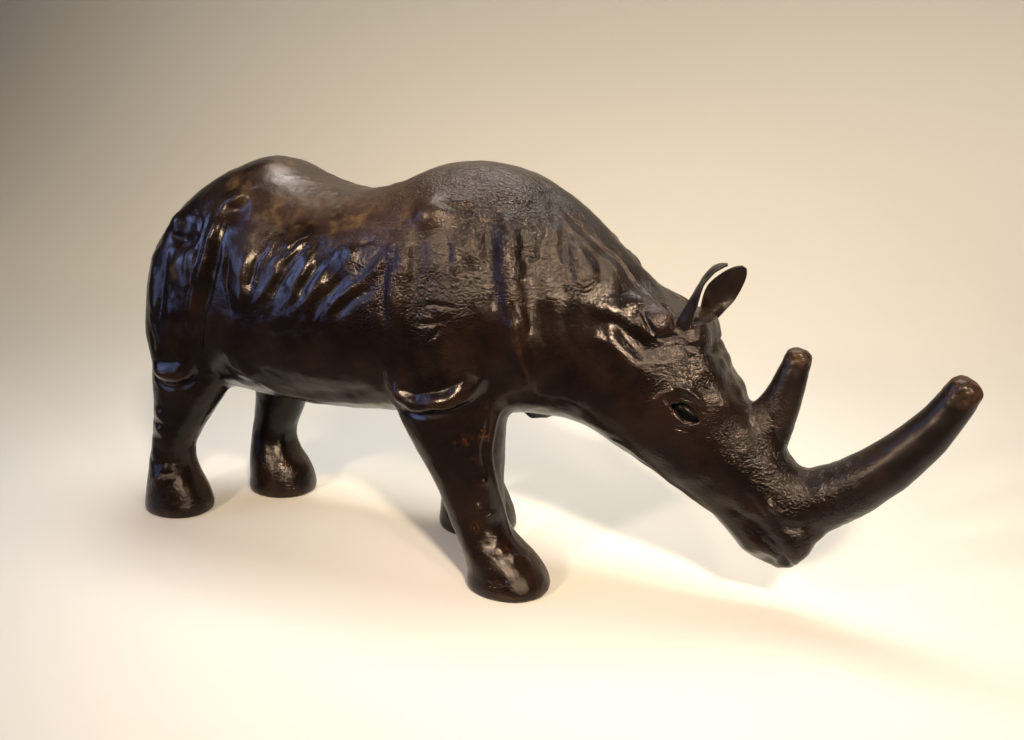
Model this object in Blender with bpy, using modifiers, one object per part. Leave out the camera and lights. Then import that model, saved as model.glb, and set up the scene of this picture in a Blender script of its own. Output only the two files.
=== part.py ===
"""Leather rhinoceros figure, walking with its head held low.

The figure is one moulded leather body with two horns, two ears, two glass eyes and a tail.
X runs from the tail to the head, Y to the animal's left side, Z up, and the figure stands at Z = 0.
Driving sizes are in metres. Pose, proportions and carving are drawn on a grid of shares of the
figure's length, so that all of them follow it.
"""
import math

import bmesh
import bpy
import numpy as np
from mathutils import Vector

# Driving sizes, in metres
FIGURE_LENGTH = 0.730
FRONT_HORN_BASE = 0.051
FRONT_HORN_TIP = 0.024
REAR_HORN_BASE = 0.041
REAR_HORN_TIP = 0.019
EAR_WIDTH = 0.030
EAR_LEATHER = 0.0020
EYE_LENGTH = 0.019
EYE_HEIGHT = 0.011
EYE_DEPTH = 0.012
TAIL_WIDTH = 0.009
TAIL_THICKNESS = 0.006
SEAT_GAP = 0.0003

# The drawing grid: the figure is 730 shares long
GRID_LENGTH = 730
SHARE = FIGURE_LENGTH / GRID_LENGTH

# How finely the skin is worked: voxel in shares, softening passes, faces kept, points in a section
SKIN_GRAIN = 3.4
SKIN_SOFTENING = 12
SKIN_FACES = 6800
TRUNK_SECTIONS = 70
LEG_SECTIONS = 26
SECTION_POINTS = 28
HORN_SECTIONS = 13
HORN_POINTS = 16
TAIL_SECTIONS = 14
TAIL_POINTS = 8

# The trunk, neck and head, from the tail to the lips. Each row is one section between a top and a
# low profile point: top x, top z, low x, low z, half width, squareness, fullness below the middle
TRUNK = (
    (-221, 194, -223, 152, 9, 2.0, 0.00),
    (-214, 222, -214, 140, 24, 2.0, 0.00),
    (-197, 255, -197, 128, 42, 2.1, 0.02),
    (-173, 281, -173, 120, 59, 2.2, 0.04),
    (-147, 301, -146, 120, 71, 2.3, 0.05),
    (-116, 319, -114, 122, 79, 2.3, 0.08),
    (-76, 332, -76, 119, 84, 2.3, 0.12),
    (-28, 315, -26, 118, 87, 2.3, 0.10),
    (10, 309, 6, 119, 88, 2.3, 0.08),
    (50, 317, 44, 122, 87, 2.3, 0.08),
    (86, 333, 80, 126, 85, 2.3, 0.12),
    (124, 337, 118, 132, 81, 2.2, 0.16),
    (160, 331, 156, 136, 73, 2.2, 0.20),
    (196, 314, 190, 138, 64, 2.2, 0.20),
    (227, 290, 214, 136, 57, 2.2, 0.16),
    (256, 262, 235, 128, 52, 2.2, 0.12),
    (284, 238, 256, 117, 50, 2.3, 0.08),
    (308, 216, 278, 106, 47, 2.3, 0.04),
    (328, 192, 300, 94, 42, 2.3, 0.04),
    (346, 166, 322, 82, 36, 2.3, 0.02),
    (364, 146, 339, 66, 31, 2.3, 0.00),
    (384, 127, 358, 47, 28, 2.3, -0.02),
    (401, 104, 378, 37, 26, 2.3, -0.04),
    (410, 78, 396, 41, 20, 2.2, 0.00),
)

# Legs, from inside the trunk down to just below the ground, where the soles are cut level:
# x, y, z, half length, half width, squareness
LEGS = {
    "right_fore": (
        (118, -44, 262, 46, 30, 2.2),
        (112, -50, 220, 50, 32, 2.2),
        (112, -52, 180, 49, 33, 2.2),
        (118, -52, 148, 47, 31, 2.2),
        (125, -52, 118, 41, 29, 2.1),
        (134, -52, 92, 31, 26, 2.1),
        (142, -52, 66, 25, 24, 2.1),
        (148, -52, 48, 23, 24, 2.0),
        (159, -52, 34, 27, 27, 2.0),
        (171, -52, 20, 31, 29, 2.0),
        (175, -52, 6, 33, 31, 2.1),
        (175, -52, -6, 31, 28, 2.1),
    ),
    "left_fore": (
        (104, 44, 262, 46, 30, 2.2),
        (98, 50, 220, 50, 32, 2.2),
        (94, 52, 180, 48, 33, 2.2),
        (92, 52, 148, 42, 31, 2.2),
        (90, 52, 118, 34, 28, 2.1),
        (90, 52, 92, 29, 26, 2.1),
        (91, 52, 66, 26, 24, 2.1),
        (92, 51, 48, 27, 25, 2.1),
        (96, 49, 34, 31, 28, 2.1),
        (101, 47, 20, 34, 31, 2.1),
        (102, 47, 6, 35, 32, 2.1),
        (102, 47, -6, 32, 29, 2.1),
    ),
    "right_hind": (
        (-128, -36, 268, 38, 30, 2.2),
        (-130, -42, 230, 44, 32, 2.2),
        (-135, -46, 190, 45, 32, 2.2),
        (-140, -46, 152, 42, 30, 2.2),
        (-148, -46, 124, 36, 27, 2.1),
        (-156, -46, 102, 29, 24, 2.1),
        (-165, -46, 80, 23, 21, 2.1),
        (-173, -46, 60, 19, 20, 2.1),
        (-174, -46, 44, 21, 22, 2.1),
        (-171, -46, 28, 26, 26, 2.1),
        (-168, -46, 8, 31, 28, 2.1),
        (-168, -46, -6, 28, 26, 2.1),
    ),
    "left_hind": (
        (-118, 36, 268, 40, 30, 2.2),
        (-116, 42, 230, 46, 32, 2.2),
        (-112, 46, 190, 46, 32, 2.2),
        (-111, 46, 152, 40, 31, 2.2),
        (-112, 46, 124, 33, 27, 2.1),
        (-113, 46, 102, 27, 24, 2.1),
        (-118, 45, 78, 24, 22, 2.1),
        (-124, 44, 56, 21, 21, 2.1),
        (-121, 42, 40, 25, 24, 2.1),
        (-115, 41, 26, 30, 29, 2.1),
        (-112, 41, 8, 32, 30, 2.1),
        (-112, 41, -6, 29, 28, 2.1),
    ),
}

# The raised poll that carries the ears, drawn as the legs are
POLL = (
    (294, 0, 192, 21, 36, 2.3),
    (299, 0, 208, 18, 35, 2.4),
    (302, 0, 221, 16, 33, 2.5),
    (302, 0, 231, 11, 27, 2.5),
    (301, 0, 235, 5, 18, 2.5),
)

# Horns: x and z of the middle line; a taper over 1 keeps the horn thick for longer
FRONT_HORN_LINE = ((386, 90), (412, 104), (438, 123), (460, 146), (479, 172), (493, 199))
REAR_HORN_LINE = ((352, 128), (362, 152), (369, 174), (374, 193), (378, 208))
HORN_TAPER = 1.4
HORN_FLATNESS = 0.92
HORN_TIP_DOME = 0.6
HORN_TIP_TURNS = (30, 55, 78)

# The left eye's middle, and how far the eyes slope down towards the nose, in degrees
EYE_CENTRE = (305, 40, 166)
EYE_SLOPE = 39

# Ears: the middle of the root, the tip, and the way the hollow side faces
LEFT_EAR = {"root": (298, 28, 214), "tip": (327, 32, 269), "faces": (0.40, -0.90, 0.10)}
RIGHT_EAR = {"root": (284, -27, 227), "tip": (316, -36, 280), "faces": (0.84, 0.20, -0.50)}
EAR_ROWS = 11
EAR_COLUMNS = 7
EAR_ROOT_SHARE = 0.65
EAR_WIDEST = 0.55
EAR_ROLL = (130, 28)
EAR_ROLLED = 0.65
EAR_HOOK = 8
EAR_HOOK_TURN = 6

# The tail: height of its top, how far it hangs, and how slim its end is
TAIL_TOP = 258
TAIL_DROP = 138
TAIL_END = 0.28

# Folds drawn on both flanks: kind, width, height, then the line's x and z points.
# A crease sinks, a ridge rises, and a lap is a skin edge that stands up on the left of its line
FLANK_FOLDS = (
    ("ridge", 5, 3.5, ((-60, 308), (-76, 300), (-90, 288), (-95, 262), (-103, 222))),
    ("ridge", 6, 3.0, ((-80, 180), (-76, 160), (-56, 148))),
    ("crease", 7, 2.5, ((-58, 160), (-24, 150), (20, 150), (64, 160))),
    ("ridge", 7, 3.5, ((78, 290), (87, 256), (87, 206))),
    ("crease", 5, 2.5, ((97, 285), (104, 246), (99, 205))),
    ("ridge", 5, 2.5, ((121, 288), (128, 250))),
    ("ridge", 5, 2.5, ((138, 304), (147, 262))),
    ("crease", 5, 2.5, ((150, 300), (158, 262), (162, 225))),
    ("ridge", 7, 4.5, ((153, 314), (167, 278), (175, 240), (187, 200), (196, 156))),
    ("crease", 6, 3.0, ((182, 292), (190, 252), (204, 205))),
    ("crease", 6, 3.0, ((197, 292), (210, 250), (217, 200))),
    ("crease", 4, 3.5, ((159, 326), (181, 316), (206, 300), (230, 281), (253, 260), (276, 240))),
    ("lap", 4, 5.0, ((79, 196), (77, 166), (86, 151), (116, 150), (142, 156), (153, 170), (158, 196))),
    ("ridge", 6, 3.5, ((236, 222), (257, 203), (274, 190))),
    ("ridge", 7, 3.5, ((250, 246), (271, 239), (288, 220))),
    ("crease", 5, 2.5, ((243, 232), (262, 216), (280, 204))),
    ("ridge", 3, 2.2, ((292, 184), (306, 181), (320, 168))),
    ("crease", 3, 1.6, ((284, 168), (300, 153), (318, 149))),
)

# The mouth runs round the front of the muzzle, so its crease is not kept to the flanks
MOUTH_WIDTH = 2.6
MOUTH_DEPTH = 4.0
MOUTH_LINE = ((332, 96), (352, 89), (369, 78), (381, 66), (386, 54), (383, 38))

# The long flap of skin over each thigh, a closed outline, and the two furrows down it
FLAP_HEIGHT = 4.5
THIGH_FLAP = ((-176, 244), (-180, 202), (-171, 162), (-162, 141), (-145, 132), (-126, 142),
              (-114, 168), (-107, 204), (-105, 250), (-140, 256), (-176, 244))
FURROW_WIDTH = 4
FURROW_DEPTH = 1.6
FLAP_FURROWS = (((-146, 246), (-152, 210), (-150, 156)), ((-126, 246), (-132, 210), (-130, 156)))

# Ribs that show through the hide: a fan of creases between these first and last ones
RIB_COUNT = 7
RIB_WIDTH = 4.5
RIB_DEPTH = 2.6
RIB_FADE = 0.4
FIRST_RIB = ((-34, 268), (-46, 250), (-51, 220))
LAST_RIB = ((72, 266), (48, 240), (20, 208))

# Knobs, bumps and hollows on both sides: x, y, z, spread, height
SWELLS = (
    (-142, 56, 274, 12, 6.0),
    (-130, 68, 262, 12, -4.5),
    (-72, 66, 286, 11, -3.5),
    (108, 60, 300, 15, 5.0),
    (131, 54, 306, 8, 2.0),
    (283, 30, 228, 13, 4.5),
    (266, 38, 226, 9, 2.5),
    (248, 43, 233, 9, 2.5),
    (226, 53, 172, 15, 3.0),
    (316, 28, 196, 15, 4.5),
    (324, 9, 202, 9, 2.5),
    (340, 9, 180, 9, 2.5),
    (333, 30, 174, 12, 4.5),
    (360, 24, 62, 12, 2.5),
    (392, 22, 62, 10, 2.5),
    (393, 25, 86, 5, -4.0),
    (393, 25, 77, 5, 2.0),
)


def remove_everything():
    """Clear whatever the file already holds."""
    for thing in list(bpy.data.objects):
        bpy.data.objects.remove(thing, do_unlink=True)


def make_collection(name):
    """A collection under the scene."""
    collection = bpy.data.collections.new(name)
    bpy.context.scene.collection.children.link(collection)
    return collection


def make_material(name, colour, roughness):
    """A plain Principled material."""
    material = bpy.data.materials.new(name)
    material.use_nodes = True
    shader = material.node_tree.nodes["Principled BSDF"]
    shader.inputs["Base Color"].default_value = (*colour, 1)
    shader.inputs["Roughness"].default_value = roughness
    shader.inputs["Metallic"].default_value = 0
    material.diffuse_color = (*colour, 1)
    return material


def smooth_rows(rows, count):
    """Rows of numbers read off one smooth curve through the given rows, evenly spaced."""
    rows = np.array(rows, float)
    steps = np.linalg.norm(np.diff(rows[:, :3], axis=0), axis=1)
    knots = np.concatenate(([0], np.cumsum(steps)))
    slopes = np.gradient(rows, knots, axis=0)
    places = np.linspace(0, knots[-1], count)
    spans = np.clip(np.searchsorted(knots, places, side="right") - 1, 0, len(knots) - 2)
    width = (knots[spans + 1] - knots[spans])[:, None]
    t = (places[:, None] - knots[spans][:, None]) / width
    start, end = rows[spans], rows[spans + 1]
    leave, arrive = slopes[spans] * width, slopes[spans + 1] * width
    return ((2 * t**3 - 3 * t**2 + 1) * start + (t**3 - 2 * t**2 + t) * leave
            + (3 * t**2 - 2 * t**3) * end + (t**3 - t**2) * arrive)


def section(centre, across, upright, squareness=2.0, fullness=0.0, count=SECTION_POINTS):
    """One closed section: a squared ellipse, wider below its middle by the fullness."""
    points = []
    for step in range(count):
        angle = 2 * math.pi * step / count
        side = math.copysign(abs(math.cos(angle)) ** (2 / squareness), math.cos(angle))
        rise = math.copysign(abs(math.sin(angle)) ** (2 / squareness), math.sin(angle))
        points.append(centre + across * side * (1 - fullness * rise) + upright * rise)
    return points


def loft(bm, rings):
    """A closed skin over a row of rings that all have the same number of points."""
    made = [[bm.verts.new(point * SHARE) for point in ring] for ring in rings]
    for lower, upper in zip(made, made[1:]):
        for i, corner in enumerate(lower):
            j = (i + 1) % len(lower)
            bm.faces.new((corner, lower[j], upper[j], upper[i]))
    bm.faces.new(list(reversed(made[0])))
    bm.faces.new(made[-1])


def new_object(name, bm, collection, material=None):
    """An object made from a finished bmesh, with its faces out."""
    bmesh.ops.recalc_face_normals(bm, faces=bm.faces)
    mesh = bpy.data.meshes.new(name)
    bm.to_mesh(mesh)
    bm.free()
    thing = bpy.data.objects.new(name, mesh)
    collection.objects.link(thing)
    if material:
        mesh.materials.append(material)
    return thing


def settle(thing):
    """Turn an object's modifiers into its mesh."""
    graph = bpy.context.evaluated_depsgraph_get()
    mesh = bpy.data.meshes.new_from_object(thing.evaluated_get(graph))
    thing.modifiers.clear()
    old = thing.data
    thing.data = mesh
    bpy.data.meshes.remove(old)


def cut_away(thing, name, cutter):
    """Cut a piece, its faces made flat first, with another object."""
    thing.modifiers.new("flat_faces", "TRIANGULATE")
    cut = thing.modifiers.new(name, "BOOLEAN")
    cut.operation = "DIFFERENCE"
    cut.solver = "EXACT"
    cut.use_self = True
    cut.object = cutter
    settle(thing)


def trunk_sections():
    """Sections of the trunk, neck and head."""
    rings = []
    for top_x, top_z, low_x, low_z, half, squareness, fullness in smooth_rows(TRUNK, TRUNK_SECTIONS):
        top, low = Vector((top_x, 0, top_z)), Vector((low_x, 0, low_z))
        rings.append(section((top + low) / 2, Vector((0, half, 0)), (top - low) / 2, squareness, fullness))
    return rings


def leg_sections(rows):
    """Level sections of one leg."""
    rings = []
    for x, y, z, length, width, squareness in smooth_rows(rows, LEG_SECTIONS):
        rings.append(section(Vector((x, y, z)), Vector((0, width, 0)), Vector((length, 0, 0)), squareness))
    return rings


def ease(low, high, values):
    """A smooth step from 0 at low to 1 at high."""
    t = np.clip((values - low) / (high - low), 0, 1)
    return t * t * (3 - 2 * t)


def from_line(places, line):
    """How far places in a plane are from a line, on which side (left is +1) and how far along."""
    line = smooth_rows(line, 8 * len(line))
    lengths = np.linalg.norm(np.diff(line, axis=0), axis=1)
    before = np.concatenate(([0], np.cumsum(lengths)))
    distance = np.full(len(places), np.inf)
    side = np.ones(len(places))
    along = np.zeros(len(places))
    for k, (start, end) in enumerate(zip(line, line[1:])):
        step = end - start
        t = np.clip((places - start) @ step / (step @ step), 0, 1)
        gap = places - start - t[:, None] * step
        reach = np.hypot(gap[:, 0], gap[:, 1])
        closer = reach < distance
        distance[closer] = reach[closer]
        side[closer] = np.sign(step[0] * gap[closer, 1] - step[1] * gap[closer, 0])
        along[closer] = (before[k] + t[closer] * lengths[k]) / before[-1]
    return distance, side, along


def fold(places, kind, width, height, line, fade=0.2):
    """How much one fold lifts the skin at each place; it fades out over a share of each end."""
    distance, side, along = from_line(places, line)
    ends = ease(0, fade, np.minimum(along, 1 - along))
    if kind == "crease":
        return -height * ends * np.exp(-(distance / width) ** 2)
    if kind == "ridge":
        return height * ends * np.exp(-(distance / width) ** 2)
    signed = distance * side
    plate = np.exp(-(np.maximum(signed, 0) / (4 * width)) ** 2)
    edge = ease(-0.5 * width, 0.5 * width, signed) * plate
    under = np.exp(-((signed + 1.2 * width) / width) ** 2)
    return ends * height * (edge - 0.4 * under)


def read_vectors(mesh, name):
    """A vector of every vertex, as rows of an array."""
    values = np.empty(len(mesh.vertices) * 3)
    mesh.vertices.foreach_get(name, values)
    return values.reshape(-1, 3)


def carve(body):
    """Press the folds, ribs, flaps, knobs and the mouth into the skin."""
    places = read_vectors(body.data, "co") / SHARE
    normals = read_vectors(body.data, "normal")
    flank = places[:, (0, 2)]
    outward = ease(0, 0.25, normals[:, 1] * np.sign(places[:, 1]))
    lift = np.zeros(len(places))
    for kind, width, height, line in FLANK_FOLDS:
        lift += outward * fold(flank, kind, width, height, line)
    first, last = np.array(FIRST_RIB, float), np.array(LAST_RIB, float)
    for i in range(RIB_COUNT):
        line = first + (last - first) * i / (RIB_COUNT - 1)
        lift += outward * fold(flank, "crease", RIB_WIDTH, RIB_DEPTH, line, RIB_FADE)
    distance, side, _ = from_line(flank, THIGH_FLAP)
    lift += outward * FLAP_HEIGHT * ease(-1.5, 2.5, distance * side)
    for line in FLAP_FURROWS:
        lift += outward * fold(flank, "crease", FURROW_WIDTH, FURROW_DEPTH, line)
    lift += fold(flank, "crease", MOUTH_WIDTH, MOUTH_DEPTH, MOUTH_LINE)
    for x, y, z, spread, height in SWELLS:
        for mirror in (-1, 1):
            reach = np.linalg.norm(places - (x, mirror * y, z), axis=1)
            lift += height * np.exp(-(reach / spread) ** 2)
    places = (places + normals * lift[:, None]) * SHARE
    body.data.vertices.foreach_set("co", places.ravel())
    body.data.update()


def flatten_soles(body):
    """Cut the feet level with the ground and close the four soles."""
    bm = bmesh.new()
    bm.from_mesh(body.data)
    everything = bm.verts[:] + bm.edges[:] + bm.faces[:]
    cut = bmesh.ops.bisect_plane(bm, geom=everything, plane_co=(0, 0, 0), plane_no=(0, 0, -1),
                                 clear_outer=True)
    rims = [edge for edge in cut["geom_cut"] if isinstance(edge, bmesh.types.BMEdge)]
    bmesh.ops.edgenet_fill(bm, edges=rims)
    bmesh.ops.recalc_face_normals(bm, faces=bm.faces)
    bm.to_mesh(body.data)
    bm.free()


def make_body(collection, material):
    """The leather body: the volumes fused into one skin, carved, thinned and cut level below."""
    bm = bmesh.new()
    loft(bm, trunk_sections())
    for rows in LEGS.values():
        loft(bm, leg_sections(rows))
    loft(bm, leg_sections(POLL))
    body = new_object("leather_body", bm, collection, material)
    fuse = body.modifiers.new("fuse", "REMESH")
    fuse.mode = "VOXEL"
    fuse.voxel_size = SKIN_GRAIN * SHARE
    soften = body.modifiers.new("soften", "SMOOTH")
    soften.factor = 0.5
    soften.iterations = SKIN_SOFTENING
    settle(body)
    carve(body)
    thin = body.modifiers.new("thin", "DECIMATE")
    thin.ratio = SKIN_FACES / (2 * len(body.data.polygons))
    settle(body)
    flatten_soles(body)
    return body


def make_horn(name, line, base, tip, collection, material):
    """A horn that tapers along its middle line to a blunt rounded tip."""
    points = smooth_rows([(x, 0, z) for x, z in line], HORN_SECTIONS)
    sideways = Vector((0, 1, 0))
    rings = []
    for i, place in enumerate(points):
        along = Vector(points[min(i + 1, HORN_SECTIONS - 1)] - points[max(i - 1, 0)]).normalized()
        t = i / (HORN_SECTIONS - 1)
        radius = (base + (tip - base) * t ** HORN_TAPER) / 2 / SHARE
        across, upright = sideways * radius * HORN_FLATNESS, along.cross(sideways) * radius
        rings.append(section(Vector(place), across, upright, count=HORN_POINTS))
    for turn in HORN_TIP_TURNS:
        rise, shrink = math.sin(math.radians(turn)), math.cos(math.radians(turn))
        centre = Vector(points[-1]) + along * radius * HORN_TIP_DOME * rise
        rings.append(section(centre, across * shrink, upright * shrink, count=HORN_POINTS))
    bm = bmesh.new()
    loft(bm, rings)
    return new_object(name, bm, collection, material)


def make_eye(name, mirror, collection, material=None, gap=0.0):
    """A glass eye, or the cutter of its socket when it has a gap round it."""
    bm = bmesh.new()
    bmesh.ops.create_uvsphere(bm, u_segments=14, v_segments=8, radius=1)
    half = Vector((EYE_LENGTH, EYE_DEPTH, EYE_HEIGHT)) / 2 + Vector((gap, gap, gap))
    bmesh.ops.scale(bm, vec=half, verts=bm.verts)
    eye = new_object(name, bm, collection, material)
    x, y, z = EYE_CENTRE
    eye.location = Vector((x, mirror * y, z)) * SHARE
    eye.rotation_euler = (0, math.radians(EYE_SLOPE), 0)
    return eye


def make_ear(name, ear, collection, material):
    """One ear: a leaf of leather rolled at its root and open towards its tip."""
    root, tip = Vector(ear["root"]), Vector(ear["tip"])
    along = (tip - root).normalized()
    faces = Vector(ear["faces"])
    faces = (faces - along * faces.dot(along)).normalized()
    across = along.cross(faces)
    bm = bmesh.new()
    grid = []
    for i in range(EAR_ROWS):
        t = i / (EAR_ROWS - 1)
        opening = math.sin(math.pi / 2 * min(t / EAR_WIDEST, 1))
        narrowing = math.sqrt(max(1 - (max(t - EAR_WIDEST, 0) / (1 - EAR_WIDEST)) ** 2, 0.04))
        half = EAR_WIDTH / 2 / SHARE * (EAR_ROOT_SHARE + (1 - EAR_ROOT_SHARE) * opening) * narrowing
        roll = math.radians(EAR_ROLL[0] + (EAR_ROLL[1] - EAR_ROLL[0]) * min(t / EAR_ROLLED, 1))
        radius = half / roll
        middle = root.lerp(tip, t) + faces * EAR_HOOK * t ** EAR_HOOK_TURN
        row = []
        for j in range(EAR_COLUMNS):
            turn = roll * (2 * j / (EAR_COLUMNS - 1) - 1)
            out = across * radius * math.sin(turn) + faces * radius * (1 - math.cos(turn))
            row.append(bm.verts.new((middle + out) * SHARE))
        grid.append(row)
    for lower, upper in zip(grid, grid[1:]):
        for j in range(EAR_COLUMNS - 1):
            bm.faces.new((lower[j], lower[j + 1], upper[j + 1], upper[j]))
    leaf = new_object(name, bm, collection, material)
    wall = leaf.modifiers.new("leather", "SOLIDIFY")
    wall.thickness = EAR_LEATHER
    wall.offset = 0
    settle(leaf)
    return leaf


def make_tail(body, collection, material):
    """A slim strip that lies on the rump and hangs from its rearmost point."""
    half_wide, half_thick = TAIL_WIDTH / 2 / SHARE, TAIL_THICKNESS / 2 / SHARE
    behind = Vector((-GRID_LENGTH, 0, 0))
    rear = 0.0
    rings = []
    for i in range(TAIL_SECTIONS):
        t = i / (TAIL_SECTIONS - 1)
        z = TAIL_TOP - TAIL_DROP * t
        hit, place, _, _ = body.ray_cast((behind + Vector((0, 0, z))) * SHARE, Vector((1, 0, 0)))
        if hit:
            rear = min(rear, place.x / SHARE)
        slim = 1 - (1 - TAIL_END) * t ** 5
        centre = Vector((rear - half_thick / 2, 0, z))
        across, out = Vector((0, half_wide * slim, 0)), Vector((half_thick * slim, 0, 0))
        rings.append(section(centre, across, out, count=TAIL_POINTS))
    bm = bmesh.new()
    loft(bm, rings)
    return new_object("tail", bm, collection, material)


def make_seat(body, collection):
    """The body's skin moved out by the seat gap, to cut what is set against it."""
    mesh = body.data.copy()
    mesh.materials.clear()
    places, normals = read_vectors(mesh, "co"), read_vectors(mesh, "normal")
    mesh.vertices.foreach_set("co", (places + normals * SEAT_GAP).ravel())
    seat = bpy.data.objects.new("seat_cutter", mesh)
    collection.objects.link(seat)
    return seat


def stand_on_origin(things):
    """Put the middle of the figure's box over the origin, with the soles at zero height."""
    corners = [thing.matrix_world @ vertex.co for thing in things for vertex in thing.data.vertices]
    low = [min(corner[axis] for corner in corners) for axis in range(3)]
    high = [max(corner[axis] for corner in corners) for axis in range(3)]
    stand = bpy.data.objects.new("stand_point", None)
    bpy.context.scene.collection.objects.link(stand)
    stand.location = (-(low[0] + high[0]) / 2, -(low[1] + high[1]) / 2, -low[2])
    for thing in things:
        thing.parent = stand


def main():
    """Build the figure."""
    remove_everything()
    parts = make_collection("leather_rhinoceros")
    cutters = make_collection("cutters")
    body_leather = make_material("body_leather", (0.018, 0.011, 0.008), 0.35)
    horn_leather = make_material("horn_leather", (0.020, 0.014, 0.012), 0.40)
    ear_leather = make_material("ear_leather", (0.015, 0.010, 0.009), 0.45)
    tail_leather = make_material("tail_leather", (0.022, 0.013, 0.009), 0.40)
    glass = make_material("dark_glass", (0.004, 0.008, 0.006), 0.05)

    body = make_body(parts, body_leather)
    for mirror in (-1, 1):
        socket = make_eye("socket_cutter", mirror, cutters, gap=SEAT_GAP)
        cut_away(body, "socket", socket)
    seat = make_seat(body, cutters)
    seated = [
        make_horn("front_horn", FRONT_HORN_LINE, FRONT_HORN_BASE, FRONT_HORN_TIP, parts, horn_leather),
        make_horn("rear_horn", REAR_HORN_LINE, REAR_HORN_BASE, REAR_HORN_TIP, parts, horn_leather),
        make_ear("left_ear", LEFT_EAR, parts, ear_leather),
        make_ear("right_ear", RIGHT_EAR, parts, ear_leather),
        make_tail(body, parts, tail_leather),
    ]
    for thing in seated:
        cut_away(thing, "seat", seat)
    eyes = [make_eye("left_eye", 1, parts, glass), make_eye("right_eye", -1, parts, glass)]
    for cutter in cutters.objects:
        cutter.hide_render = True
        cutter.display_type = "WIRE"
    bpy.context.view_layer.update()
    stand_on_origin([body, *seated, *eyes])


main()
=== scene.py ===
import math

import bmesh
import bpy
import numpy as np
from mathutils import Matrix, Vector
from mathutils.bvhtree import BVHTree


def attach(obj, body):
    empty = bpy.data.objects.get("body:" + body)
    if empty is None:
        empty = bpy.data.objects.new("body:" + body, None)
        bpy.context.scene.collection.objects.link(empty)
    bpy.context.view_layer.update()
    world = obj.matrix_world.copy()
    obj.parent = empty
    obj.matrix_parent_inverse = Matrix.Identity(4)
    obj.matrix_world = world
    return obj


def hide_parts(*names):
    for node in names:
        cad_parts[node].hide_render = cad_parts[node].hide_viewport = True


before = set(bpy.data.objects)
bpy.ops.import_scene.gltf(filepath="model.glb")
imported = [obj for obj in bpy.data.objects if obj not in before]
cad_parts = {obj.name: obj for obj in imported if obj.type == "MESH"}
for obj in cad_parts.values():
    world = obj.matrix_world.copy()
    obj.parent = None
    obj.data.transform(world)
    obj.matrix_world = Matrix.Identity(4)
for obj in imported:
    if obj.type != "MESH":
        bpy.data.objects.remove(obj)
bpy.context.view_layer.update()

MM = 0.001
GRID_ZERO_X = -0.13875
# Turns the noise's lattice off the axes, so that no rows of it show
TILT = np.array(Matrix.Rotation(0.9, 3, Vector((1, 2, 3)).normalized()))

# The hide: voxel, how far every pass softens it, the passes on the trunk and on the head, where the head
# begins, and the triangles kept
HIDE_VOXEL = 2.2
SOFTENING = 0.5
BODY_PASSES = 20
HEAD_PASSES = 5
HEAD_FROM = (225, 265)
HIDE_TRIANGLES = 196000
# How far the skin stands off the body's solid, and the flare of the soles
HIDE_SWELL = 0.8
SOLE_FLARE = 3.2
SOLE_HEIGHT = 11
# Where the horns leave the hide: softening, the stretch of each horn in which the hide sinks under its skin,
# how deep, and the line in x and z that parts the horns
JOIN_PASSES = 60
JOIN_REACH = 7
FRONT_LAP = (8, 34)
REAR_LAP = (4, 20)
LAP_SINK = 1.8
HORNS_PART_AT = (385, 150)
HORNS_PART_SLOPE = 0.45

# Eyes: centre, slope in degrees, size, how far in the glass sits, half the opening's length and height, the
# socket's depth and reach, and how far round the eye the leather stays unworn
EYE_CENTRE = (306, 40.5, 165.2)
EYE_SLOPE = 31
EYE_SIZE = (23.0, 12.0, 12.0)
EYE_SET_BACK = 3.8
EYE_OPENING = (12.2, 3.3)
EYE_SOCKET = 6.5
EYE_REACH = 14
EYE_UNWORN = 17

# How far the flank's strokes waver, and how uneven their heights are
FLANK_DRIFT = 1.5
FLANK_UNEVEN = 0.3
# How much of a stroke's length fades out at each end
STROKE_FADE = 0.3

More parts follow.
